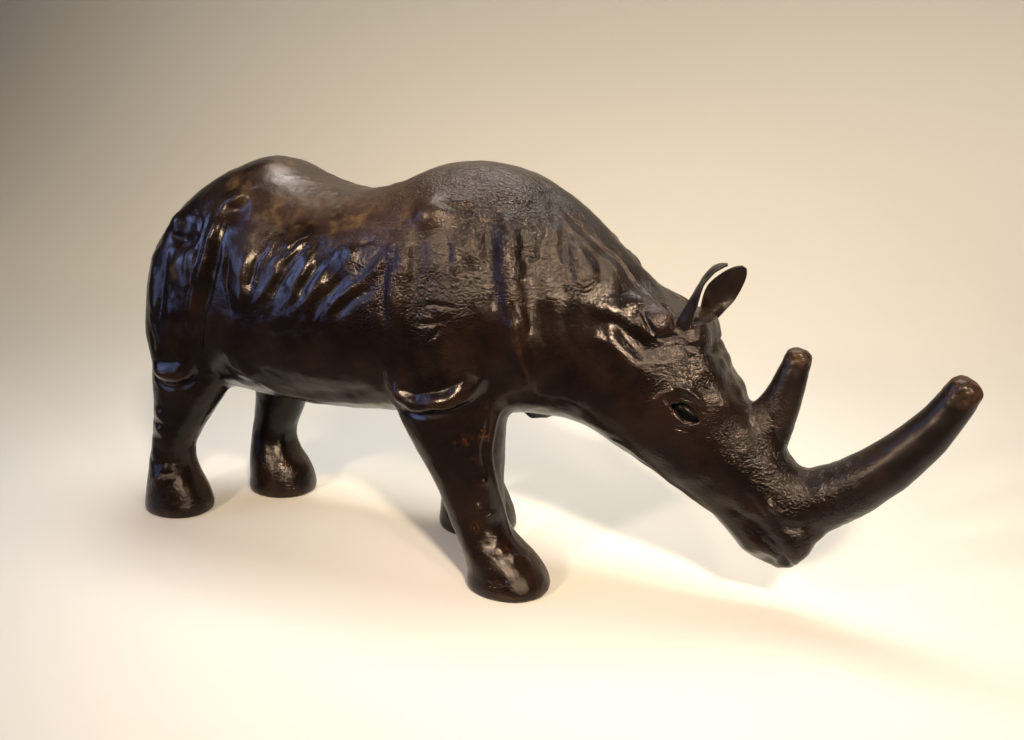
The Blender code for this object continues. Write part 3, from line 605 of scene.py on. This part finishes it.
def set_wear(mesh, name, values):
    """Keep one number for every vertex under a name that the materials read."""
    layer = mesh.attributes.new(name, "FLOAT", "POINT")
    layer.data.foreach_set("value", np.clip(values, 0, 1).astype(np.float32))


def dress(thing, node, material):
    """Shade a piece smoothly, give it its material and let it stand for its solid."""
    thing.data.materials.clear()
    thing.data.materials.append(material)
    shade_smooth(thing.data)
    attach(thing, "root")
    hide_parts(node)


# Materials
def fill(tree, node, inputs):
    """Give each named input its number or colour, or link it to the socket it takes them from."""
    for key, value in inputs.items():
        if isinstance(value, bpy.types.NodeSocket):
            tree.links.new(value, node.inputs[key])
        else:
            node.inputs[key].default_value = value


def add_node(tree, kind, inputs, **settings):
    """A new node with its settings and inputs."""
    made = tree.nodes.new(kind)
    for key, value in settings.items():
        setattr(made, key, value)
    fill(tree, made, inputs)
    return made


def new_material(name):
    """A material, its node tree and its shader."""
    material = bpy.data.materials.new(name)
    material.use_nodes = True
    return material, material.node_tree, material.node_tree.nodes["Principled BSDF"]


def leather(name, dark, brown, bright, grain, cracks, roughness):
    """Polished leather: dark ground, brown wear, grain, fine cracks, uneven gloss, painted hollow shade and
    brown sheen.
    """
    material, tree, shader = new_material(name)
    place = add_node(tree, "ShaderNodeTexCoord", {}).outputs["Object"]

    def noise(scale, detail, rough, source=place):
        inputs = {"Scale": scale, "Detail": detail, "Roughness": rough, "Vector": source}
        return add_node(tree, "ShaderNodeTexNoise", inputs).outputs["Fac"]

    def maths(operation, *values, clamp=False):
        inputs = dict(enumerate(values))
        return add_node(tree, "ShaderNodeMath", inputs, operation=operation, use_clamp=clamp).outputs[0]

    def remap(value, low, high):
        inputs = {"Value": value, "From Min": low, "From Max": high}
        return add_node(tree, "ShaderNodeMapRange", inputs, interpolation_type="SMOOTHSTEP").outputs["Result"]

    def mix(share, first, second):
        inputs = {"Factor": share, 6: first, 7: second}
        return add_node(tree, "ShaderNodeMix", inputs, data_type="RGBA").outputs[2]

    def kept(wear):
        return add_node(tree, "ShaderNodeAttribute", {}, attribute_name=wear).outputs["Fac"]

    # Places, bent a little, so that pebbles and cracks don't run straight
    wander = add_node(tree, "ShaderNodeTexNoise", {"Scale": 160, "Detail": 2, "Vector": place})
    inputs = {0: wander.outputs["Color"], 1: (0.0022, 0.0022, 0.0022), 2: place}
    bent = add_node(tree, "ShaderNodeVectorMath", inputs, operation="MULTIPLY_ADD").outputs["Vector"]
    pebble = add_node(tree, "ShaderNodeTexVoronoi", {"Scale": 700, "Smoothness": 0.35, "Vector": bent},
                      feature="SMOOTH_F1").outputs["Distance"]
    crack = add_node(tree, "ShaderNodeTexVoronoi", {"Scale": 190, "Vector": bent},
                     feature="DISTANCE_TO_EDGE").outputs["Distance"]
    uncracked = remap(crack, 0.0, 0.09)
    patches = noise(22, 5.0, 0.6)
    fine = noise(900, 3.0, 0.6)
    streaks = noise(75, 6.0, 0.65)
    dents = noise(70, 1.5, 0.45)
    chips = noise(330, 3.0, 0.6)
    nubs = noise(480, 2.5, 0.6, bent)
    worn, hollow_shade, gold, rust, dull_and_sheen, grainy = map(kept, WEAR_NAMES)

    # Colour, from the ground up
    rubbed = maths("MULTIPLY", worn, remap(streaks, 0.38, 0.66), clamp=True)
    golden = maths("MULTIPLY", gold, remap(streaks, 0.35, 0.62), clamp=True)
    chipped = maths("MULTIPLY", rust, remap(chips, 0.46, 0.58), clamp=True)
    cracked = maths("SUBTRACT", 1.0, uncracked)
    base = mix(remap(patches, 0.40, 0.68), (*dark, 1), (*brown, 1))
    # Painted shade darkens the hollows; the matt brown is worn leather on the saddle and a painted sheen on
    # slopes facing up and to the far side
    for cover, share, colour in ((rubbed, 0.5, bright), (dull_and_sheen, 0.8, MATT_BROWN_AND_SHEEN), (golden, 0.7, GOLD),
                                 (chipped, 1.0, RUST), (hollow_shade, 0.8, HOLLOW_SHADE), (cracked, 0.35 * cracks, CRACK)):
        base = mix(maths("MULTIPLY", cover, share, clamp=True), base, (*colour, 1))

    # Gloss
    gloss = roughness
    for change, share in ((maths("SUBTRACT", patches, 0.5), 0.20), (maths("SUBTRACT", fine, 0.5), 0.16),
                          (hollow_shade, 0.12), (golden, 0.22), (dull_and_sheen, 0.28)):
        gloss = maths("ADD", gloss, maths("MULTIPLY", change, share))
    gloss = maths("SUBTRACT", gloss, maths("MULTIPLY", grainy, 0.09 * grain), clamp=True)

    # Bump, nearly flat where the piece keeps no grain
    strength = maths("MULTIPLY_ADD", grainy, 0.97, 0.03)
    pebbled = maths("MULTIPLY", maths("SUBTRACT", 1.0, pebble), strength)
    height = maths("MULTIPLY", pebbled, PEBBLE_RISE * grain)
    for relief, rise in ((maths("MULTIPLY", uncracked, strength), CRACK_RISE * cracks), (dents, DENT_RISE),
                         (maths("MULTIPLY", nubs, strength), NUB_RISE * grain),
                         (maths("MULTIPLY", fine, strength), GRAIN_RISE * grain)):
        height = maths("ADD", height, maths("MULTIPLY", relief, rise))
    bump = add_node(tree, "ShaderNodeBump", {"Strength": 1.0, "Distance": 1.0, "Height": height})
    fill(tree, shader, {"Base Color": base, "Roughness": gloss, "Normal": bump.outputs["Normal"],
                        "Specular IOR Level": 0.30, "IOR": 1.5})
    return material


def eye_glass():
    """Nearly black glass with a faint green depth."""
    material, tree, shader = new_material("eye_glass")
    place = add_node(tree, "ShaderNodeTexCoord", {}).outputs["Object"]
    noise = add_node(tree, "ShaderNodeTexNoise", {"Scale": 140, "Vector": place}).outputs["Fac"]
    darker, lighter = GLASS
    inputs = {"Factor": noise, 6: (*darker, 1), 7: (*lighter, 1)}
    depth = add_node(tree, "ShaderNodeMix", inputs, data_type="RGBA")
    fill(tree, shader, {"Base Color": depth.outputs[2], "Roughness": 0.30, "Specular IOR Level": 0.06})
    return material


def stage_paint(name, colour, roughness):
    """A plain matt paint for the stage."""
    material, tree, shader = new_material(name)
    fill(tree, shader, {"Base Color": (*colour, 1), "Roughness": roughness, "Specular IOR Level": 0.2})
    return material


# The hide
def fused_skin():
    """The body's solid and both horns' as one finer skin, softened, most of all where the horns leave it."""
    bm = bmesh.new()
    for name in ("leather_body", "front_horn", "rear_horn"):
        bm.from_mesh(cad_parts[name].data)
    bmesh.ops.remove_doubles(bm, verts=bm.verts, dist=0.00001)
    hide = new_object("leather_hide", bm)
    fuse = hide.modifiers.new("fuse", "REMESH")
    fuse.mode = "VOXEL"
    fuse.voxel_size = HIDE_VOXEL * MM
    settle(hide)
    places = to_grid(read(hide.data, "co"))
    edges = edge_pairs(hide.data)
    head = ease(*HEAD_FROM, places[:, 0])
    places = soften(places, edges, HEAD_PASSES, SOFTENING)
    places = soften(places, edges, BODY_PASSES - HEAD_PASSES, SOFTENING * (1 - 0.9 * head))
    from_both = np.maximum(from_solids(["leather_body"], places),
                           from_solids(["front_horn", "rear_horn"], places))
    places = soften(places, edges, JOIN_PASSES, SOFTENING * bell(from_both, JOIN_REACH))
    places[:, 2] = np.maximum(places[:, 2], 0)
    write(hide.data, to_row(places))
    finer = hide.modifiers.new("finer", "SUBSURF")
    finer.levels = 1
    settle(hide)
    return hide


def folds(places, normals, mirrored):
    """The lift of all strokes, lumps and scuffs."""
    outward = ease(0.05, 0.35, np.abs(normals[:, 1]) * (normals[:, 1] * places[:, 1] > 0))
    drift = np.stack([cloud(places, 13, seed) for seed in (71, 72)], axis=1)
    flank = places[:, (0, 2)] + FLANK_DRIFT * drift
    uneven = 1 + FLANK_UNEVEN * cloud(places, 10, 73)
    lift = np.zeros(len(places))
    for values in FLANK_STROKES:
        lift += outward * uneven * stroke(flank, *values)
    for *shape, line in SPACE_STROKES:
        lift += stroke(mirrored, *shape, snapped(line, mirrored))
    for *shape, line in LONE_STROKES:
        lift += stroke(places, *shape, snapped(line, places))
    for *shape, half in LIP_STROKES:
        line = half + tuple((x, -y, z) for x, y, z in reversed(half[:-1]))
        lift += stroke(places, *shape, snapped(line, places))
    for swelling in SPACE_LUMPS:
        lift += lump(mirrored, *swelling)
    for swelling in LONE_LUMPS:
        lift += lump(places, *swelling)
    for scuff in SCUFFS:
        lift += lump(places, *scuff) * (1 + cloud(places, 3.0, 7))
    return lift


def rough_skin(places, normals, mirrored):
    """How rough the skin is, from 0 to 1: on the shoulder, less on the face's sides and the lower legs."""
    x, z = places[:, 0], places[:, 2]
    shoulder = ease(*SHOULDER_ALONG, x) * ease(*SHOULDER_UP, z + 12 * cloud(places, 18, 14))
    face = ease(*FACE_ALONG, x) * (0.25 + 0.75 * ease(-0.15, 0.35, normals[:, 2]))
    leg = 0.35 * ease(*LEG_UP, z)
    rises = LOWER_NECK_UP[0] + 0.2 * (x - LOWER_NECK_ALONG[1])
    shoulder *= 1 - 0.95 * ease(*LOWER_NECK_ALONG, x) * ease(rises, LOWER_NECK_UP[1], z)
    return np.maximum(np.maximum(shoulder, face), leg) * (1 - lump(mirrored, *KNOB, KNOB_SMOOTH, 0.9))


def add_noise(lift, places, rough):
    """Add the skin's own unevenness: lumps everywhere, grain where it is rough, fine lines over the ribs."""
    x, y, z = places.T
    level = ease(*NOISE_FROM, z)
    for height, size, seed in SKIN_NOISE:
        lift += height * cloud(places, size, seed) * level
    lift += GRAIN_ON_HIDE * cloud(places, *GRAIN) * rough * (1 + cloud(places, 24, 16))
    long, short = FIBRE_TURN
    fibre = np.stack((long * x - short * z, y, FIBRE_STRETCH * (short * x + long * z)), axis=1)
    ribs = ease(-70, -30, x) * ease(130, 90, x) * ease(190, 225, z)
    height, size, seed = RIB_FIBRE
    lift += height * cloud(fibre, size, seed) * ribs * (1 - rough)


def eye_hollow(mirrored):
    """How deep the skin sinks for the opening of each eye."""
    slope = math.radians(EYE_SLOPE)
    local = mirrored - EYE_CENTRE
    u = local[:, 0] * math.cos(slope) - local[:, 2] * math.sin(slope)
    v = local[:, 0] * math.sin(slope) + local[:, 2] * math.cos(slope)
    almond = 1 - (u / EYE_OPENING[0]) ** 2 - (v / EYE_OPENING[1]) ** 2
    return EYE_SOCKET * ease(0.0, 0.35, almond) * (np.abs(local[:, 1]) < EYE_REACH)


def under_horns(places):
    """How far each place has gone under a horn: 0 on the hide, 1 where it ends."""
    x, z = places[:, 0], places[:, 2]
    reach = from_solids(["leather_body"], places)
    start, foot = HORNS_PART_AT
    front = (x > start) & (x - start > HORNS_PART_SLOPE * (z - foot))
    return np.where(front, ease(*FRONT_LAP, reach), ease(*REAR_LAP, reach))


def wear_hide(mesh, places, normals, mirrored, edges, rough):
    """Where the hide is worn, golden, rust-red, matt and grainy, and its painted shade and sheen, from relief
    and patches.
    """
    x, y, z = places.T
    fair = soften(places, edges, FINE_PASSES, SOFTENING)
    write(mesh, to_row(places))
    faced = read(mesh, "normal")
    height = np.einsum("ij,ij->i", places - fair, faced)
    broad = soften(fair, edges, SWELL_PASSES, SOFTENING)
    swell = np.einsum("ij,ij->i", fair - broad, faced)

    spine = bell(y, 26) * ease(0.55, 0.9, normals[:, 2])
    saddle = bell(x - 25, 85) * ease(262, 300, z)
    worn = 0.75 * ease(0.10, 0.75, height + 0.5 * swell)
    worn += 0.55 * spine * ease(-0.2, 0.6, cloud(places, 30, 11))
    worn += 0.5 * saddle * ease(-0.5, 0.3, cloud(places, 24, 15))
    worn *= 1 - 0.85 * bell(np.linalg.norm(mirrored - EYE_CENTRE, axis=1), EYE_UNWORN)
    worn += 0.5 * ease(46, 22, z) * ease(-0.2, 0.5, cloud(places, 9, 12))
    set_wear(mesh, "wear", worn)

    # Matt brown, rougher leather: worn on the saddle, and a painted brown sheen on the slopes that face up
    # and to the far side
    faces_up = normals[:, 2] + 0.7 * np.maximum(normals[:, 0], 0)
    far_slope_sheen = ease(-0.15, 0.30, normals[:, 1]) * ease(0.20, 0.55, faces_up)
    set_wear(mesh, "dull_and_sheen", np.maximum(saddle, 0.9 * far_slope_sheen) * ease(-0.9, 0.1, cloud(places, 20, 17)))
    # Painted shade: darker colour in creases and hollows and inside the nostril
    set_wear(mesh, "hollow_shade", ease(0.10, 0.9, -height - 0.4 * swell) + lump(mirrored, *NOSTRIL_SHADE))
    gold = 0.22 * saddle
    for patch in GOLD_PATCHES:
        gold += lump(mirrored, *patch, 1.0)
    set_wear(mesh, "gold", gold * ease(-0.5, 0.6, cloud(places, 7, 13)))
    set_wear(mesh, "rust", sum(lump(places, *patch, 0.5) for patch in RUST_PATCHES))
    set_wear(mesh, "grain", 0.12 + 0.88 * rough)


def cut_and_thin(hide, hidden):
    """Take away what lies hidden and bring the rest down to its number of triangles."""
    bm = bmesh.new()
    bm.from_mesh(hide.data)
    bm.verts.ensure_lookup_table()
    bmesh.ops.delete(bm, geom=[bm.verts[i] for i in np.nonzero(hidden)[0]], context="VERTS")
    bm.to_mesh(hide.data)
    bm.free()
    thin = hide.modifiers.new("thin", "DECIMATE")
    triangles = sum(len(face.vertices) - 2 for face in hide.data.polygons)
    thin.ratio = min(1.0, HIDE_TRIANGLES / triangles)
    settle(hide)


def make_hide():
    """The body's skin: its solid taken finer, softened, and worked with the folds and lumps it shows."""
    hide = fused_skin()
    places = to_grid(read(hide.data, "co"))
    normals = read(hide.data, "normal")
    edges = edge_pairs(hide.data)
    mirrored = places * (1, 0, 1) + (0, 1, 0) * np.abs(places)
    rough = rough_skin(places, normals, mirrored)
    lift = folds(places, normals, mirrored)
    add_noise(lift, places, rough)
    lift += HIDE_SWELL + SOLE_FLARE * bell(places[:, 2], SOLE_HEIGHT)
    lift -= eye_hollow(mirrored)
    under = under_horns(places)
    lift = lift * (1 - under) - LAP_SINK * under
    places = places + normals * lift[:, None]
    places[:, 2] = np.maximum(places[:, 2], 0)
    wear_hide(hide.data, places, normals, mirrored, edges, rough)
    cut_and_thin(hide, under >= 1)
    return hide


# Horns, ears, eyes and tail
def plain_wear(thing, **given):
    """The wear of a piece that is not the hide, with none of what isn't given."""
    count = len(thing.data.vertices)
    for name in WEAR_NAMES:
        set_wear(thing.data, name, np.broadcast_to(given.get(name, 0.0), (count,)))


def make_horn(name, line, widths, seed, hide):
    """A horn with an uneven leather skin and a blunt end drawn over the tip."""
    points = smooth_line([(x, 0, z) for x, z in line], HORN_RINGS)
    share = np.linspace(0, 1, HORN_RINGS)
    base, end = widths
    groove, groove_at, groove_length = HORN_GROOVE
    radius = (base + (end - base) * share ** HORN_TAPER) / 2
    radius = radius * (1 - groove * bell(share - groove_at, groove_length))
    sideways = np.array((0.0, 1.0, 0.0))
    turns = np.linspace(0, 2 * math.pi, HORN_POINTS, endpoint=False)

    def ring(middle, upright, reach):
        across = np.outer(np.cos(turns), sideways) * reach * HORN_FLATNESS
        return middle + across + np.outer(np.sin(turns), upright) * reach

    rings = []
    for i, middle in enumerate(points):
        along = points[min(i + 1, HORN_RINGS - 1)] - points[max(i - 1, 0)]
        along = along / np.linalg.norm(along)
        upright = np.cross(along, sideways)
        rings.append(ring(middle, upright, radius[i]))
    tip, reach = points[-1], radius[-1]
    for step in range(1, HORN_DOME_RINGS + 1):
        turn = math.radians(HORN_DOME_TURN * step / HORN_DOME_RINGS)
        middle = tip + along * reach * HORN_DOME_LENGTH * math.sin(turn)
        rings.append(ring(middle, upright, reach * math.cos(turn) ** HORN_DOME_BLUNT))
    horn = tube(name, rings)

    places = read(horn.data, "co")
    normals = read(horn.data, "normal")
    share = np.repeat(np.arange(len(rings)) / (HORN_RINGS - 1), HORN_POINTS)
    root = np.exp(-nearest(surface(hide), places) / HORN_SKIN_REACH)
    lift = 0.55 * cloud(places, 17, seed) + 0.18 * cloud(places, 8, seed + 1)
    lift += 0.5 * ease(0.86, 1.0, share) * cloud(places, 3.4, seed + 3)
    lift += GRAIN_ON_HORN * cloud(places, *GRAIN) * root
    places = places + normals * lift[:, None]
    write(horn.data, to_row(places))
    tip_wear = ease(0.90, 1.02, share) * (0.6 + 0.4 * cloud(places, 4, seed + 4))
    top = ease(0.3, 0.9, normals[:, 2]) * 0.5 * ease(-0.3, 0.5, cloud(places, 12, seed + 5))
    plain_wear(horn, wear=np.maximum(tip_wear, top), gold=0.35 * tip_wear,
               rust=0.5 * tip_wear * ease(0.1, 0.5, cloud(places, 5, seed + 6)),
               grain=0.02 + 0.85 * root + 0.2 * ease(0.90, 1, share))
    return horn


def make_ear(name, ear, seed):
    """One ear: a thin leaf of leather rolled at its root, open above, with a hooked end."""
    root, tip, faces = (np.array(ear[key], float) for key in ("root", "tip", "faces"))
    along = (tip - root) / np.linalg.norm(tip - root)
    faces = faces - along * (faces @ along)
    faces = faces / np.linalg.norm(faces)
    across = np.cross(along, faces)
    widest, share = ear["widest"], ear["root_share"]
    closed, opened = ear["roll"]
    bm = bmesh.new()
    grid = []
    for i in range(EAR_ROWS):
        t = i / (EAR_ROWS - 1)
        opening = math.sin(math.pi / 2 * min(t / widest, 1))
        narrowing = math.sqrt(max(1 - (max(t - widest, 0) / (1 - widest)) ** ear["blunt"], 0.02))
        half = ear["width"] / 2 * (share + (1 - share) * opening) * narrowing
        roll = math.radians(closed + (opened - closed) * min(t / ear["rolled"], 1))
        radius = half / roll
        middle = root + (tip - root) * t + faces * ear["hook"] * t ** ear["hook_turn"]
        middle = middle + across * ear["bow"] * math.sin(math.pi * t)
        row = []
        for j in range(EAR_COLUMNS):
            side = 2 * j / (EAR_COLUMNS - 1) - 1
            turn = roll * side
            out = across * radius * math.sin(turn) + faces * radius * (1 - math.cos(turn))
            rim = abs(side) ** 6 * EAR_RIM_BEND * math.sin(math.pi * t)
            row.append(bm.verts.new(middle + out - faces * rim))
        grid.append(row)
    for lower, upper in zip(grid, grid[1:]):
        for j in range(EAR_COLUMNS - 1):
            bm.faces.new((lower[j], lower[j + 1], upper[j + 1], upper[j]))
    leaf = new_object(name, bm)
    places = read(leaf.data, "co")
    lift = 0.45 * cloud(places, 11, seed) + 0.22 * cloud(places, 5, seed + 1)
    write(leaf.data, to_row(places + read(leaf.data, "normal") * lift[:, None]))
    wall = leaf.modifiers.new("leather", "SOLIDIFY")
    wall.thickness = EAR_LEATHER * MM
    wall.offset = 0
    edge = leaf.modifiers.new("edge", "BEVEL")
    edge.width = EAR_EDGE_ROUND * MM
    edge.segments = 2
    edge.limit_method = "ANGLE"
    edge.angle_limit = math.radians(50)
    settle(leaf)
    places = to_grid(read(leaf.data, "co"))
    plain_wear(leaf, wear=0.25 + 0.3 * cloud(places, 9, seed + 2), grain=0.15)
    return leaf


def make_eye(name, side):
    """One eye, a lens of glass turned to its opening's slope; side is 1 on the left and -1 on the right."""
    bm = bmesh.new()
    bmesh.ops.create_uvsphere(bm, u_segments=48, v_segments=32, radius=1)
    turn = Matrix.Rotation(math.radians(EYE_SLOPE), 4, "Y")
    half = Vector(EYE_SIZE) / 2
    x, y, z = EYE_CENTRE
    for vertex in bm.verts:
        place = turn @ (vertex.co * half)
        vertex.co = Vector(to_row((x + place.x, (y - EYE_SET_BACK) * side + place.y, z + place.z)))
    return new_object(name, bm)


def make_tail(hide):
    """A slim strip of leather that lies on the rump, slightly ridged, with a point at its end."""
    tree = surface(hide)
    heights = [TAIL_TOP - TAIL_DROP * i / (TAIL_RINGS - 1) for i in range(TAIL_RINGS)]
    rear = 0.0
    reach = []
    for z in heights:
        place, *_ = tree.ray_cast(Vector(to_row((-400, 0, z))), Vector((1, 0, 0)))
        if place is not None:
            rear = min(rear, (place.x - GRID_ZERO_X) / MM)
        reach.append(rear)
    reach = np.convolve(np.pad(reach, 6, mode="edge"), np.ones(13) / 13, "valid")
    turns = np.linspace(0, 2 * math.pi, TAIL_POINTS, endpoint=False)
    half_width, half_thick = TAIL_HALF
    rings = []
    for i, z in enumerate(heights):
        t = i / (TAIL_RINGS - 1)
        slim = (1 - 0.30 * t) * math.sqrt(max(1 - t ** 9, 0.004)) * min(1, 0.3 + 9 * t)
        sway = TAIL_SWAY * math.sin(2.4 * math.pi * t) * t
        out = half_thick * slim * (1 + 0.22 * np.cos(2 * turns) ** 2)
        rings.append(np.stack((reach[i] - TAIL_SUNK - out * np.cos(turns),
                               sway + half_width * slim * np.sin(turns), np.full(TAIL_POINTS, z)), axis=1))
    tail = tube("leather_tail", rings)
    places = read(tail.data, "co")
    lift = 0.25 * cloud(places, 6, 61) + 0.15 * cloud(places, 2.5, 62)
    places = places + read(tail.data, "normal") * lift[:, None]
    write(tail.data, to_row(places))
    plain_wear(tail, wear=0.3 + 0.5 * cloud(places, 8, 63), grain=0.3)
    return tail


# Stage, lights and camera
def make_stage():
    """A pale floor that curves up into a pale wall far behind, and a dark card that only reflections see."""
    profile = [(FLOOR_NEAR, 0.0), (FLOOR_CURVES_AT, 0.0)]
    for step in range(1, FLOOR_CURVE_STEPS + 1):
        turn = math.pi / 2 * step / FLOOR_CURVE_STEPS
        profile.append((FLOOR_CURVES_AT + FLOOR_CURVE * math.sin(turn), FLOOR_CURVE * (1 - math.cos(turn))))
    profile.append((FLOOR_CURVES_AT + FLOOR_CURVE, WALL_HEIGHT))
    bm = bmesh.new()
    rows = [[bm.verts.new((x, y, z - FLOOR_GAP)) for x in (-FLOOR_HALF_WIDTH, FLOOR_HALF_WIDTH)]
            for y, z in profile]
    for lower, upper in zip(rows, rows[1:]):
        bm.faces.new((lower[0], lower[1], upper[1], upper[0]))
    floor = new_object("studio_floor", bm)
    shade_smooth(floor.data)
    floor.data.materials.append(stage_paint("floor_paint", FLOOR_COLOUR, 0.6))
    if floor.data.polygons[0].normal.z < 0:
        floor.data.flip_normals()
    bm = bmesh.new()
    corners = ((-CARD_HALF_WIDTH, CARD_NEAR), (CARD_HALF_WIDTH, CARD_NEAR),
               (CARD_HALF_WIDTH, CARD_EDGE), (-CARD_HALF_WIDTH, CARD_EDGE))
    bm.faces.new([bm.verts.new((x, y, CARD_HEIGHT)) for x, y in corners])
    card = new_object("studio_card", bm)
    card.data.materials.append(stage_paint("card_paint", CARD_COLOUR, 0.9))
    card.visible_camera = card.visible_diffuse = card.visible_shadow = card.visible_transmission = False


def area_light(name, place, aim, size, power, colour, throw):
    """One soft light, turned to face a point."""
    light = bpy.data.lights.new(name, "AREA")
    light.shape = "RECTANGLE"
    light.size, light.size_y = size
    light.energy = power
    light.color = colour
    light.spread = math.radians(throw)
    lamp = bpy.data.objects.new(name, light)
    lamp.location = place
    lamp.rotation_mode = "QUATERNION"
    lamp.rotation_quaternion = (Vector(aim) - Vector(place)).to_track_quat("-Z", "Y")
    bpy.context.scene.collection.objects.link(lamp)


def make_lights():
    """Soft light from above, a cool window on the left, small warm lamps in front and a washed wall."""
    for light in LIGHTS:
        area_light(*light)
    world = bpy.data.worlds.new("studio")
    world.use_nodes = True
    backdrop = world.node_tree.nodes["Background"]
    backdrop.inputs["Color"].default_value = (*SURROUNDINGS, 1)
    backdrop.inputs["Strength"].default_value = SURROUNDINGS_STRENGTH
    bpy.context.scene.world = world
    bpy.context.scene.view_settings.view_transform = "Standard"


def make_camera():
    """The photograph's viewpoint: place, direction, roll and angle of view."""
    lens = bpy.data.cameras.new("camera")
    lens.sensor_width = CAMERA_SENSOR
    lens.lens = CAMERA_SENSOR * CAMERA_FOCUS / CAMERA_ASPECT_WIDTH
    lens.clip_start = 0.02
    lens.clip_end = 50
    camera = bpy.data.objects.new("camera", lens)
    forward = Vector(CAMERA_FORWARD).normalized()
    level = Vector(CAMERA_RIGHT).normalized()
    upright = level.cross(forward)
    roll = math.radians(CAMERA_ROLL)
    right = math.cos(roll) * level + math.sin(roll) * upright
    up = right.cross(forward)
    turn = Matrix((right, up, -forward)).transposed().to_4x4()
    camera.matrix_world = Matrix.Translation(CAMERA_PLACE) @ turn
    bpy.context.scene.collection.objects.link(camera)
    bpy.context.scene.camera = camera


def main():
    """Dress the figure and set it on its floor."""
    leathers = {name: leather(name, *values) for name, values in LEATHERS.items()}
    glass = eye_glass()
    hide = make_hide()
    tail = make_tail(hide)
    dress(hide, "leather_body", leathers["hide_leather"])
    dress(tail, "tail", leathers["tail_hide"])
    for node, line, widths, seed in (("front_horn", FRONT_HORN_LINE, FRONT_HORN_WIDTHS, 20),
                                     ("rear_horn", REAR_HORN_LINE, REAR_HORN_WIDTHS, 30)):
        horn = make_horn(f"{node}_skin", line, widths, seed, hide)
        dress(horn, node, leathers["horn_hide"])
    for node, ear, seed in (("left_ear", LEFT_EAR, 40), ("right_ear", RIGHT_EAR, 50)):
        dress(make_ear(f"{node}_leaf", ear, seed), node, leathers["ear_hide"])
    dress(make_eye("left_glass_eye", 1), "left_eye", glass)
    dress(make_eye("right_glass_eye", -1), "right_eye", glass)
    make_stage()
    make_lights()
    make_camera()


main()
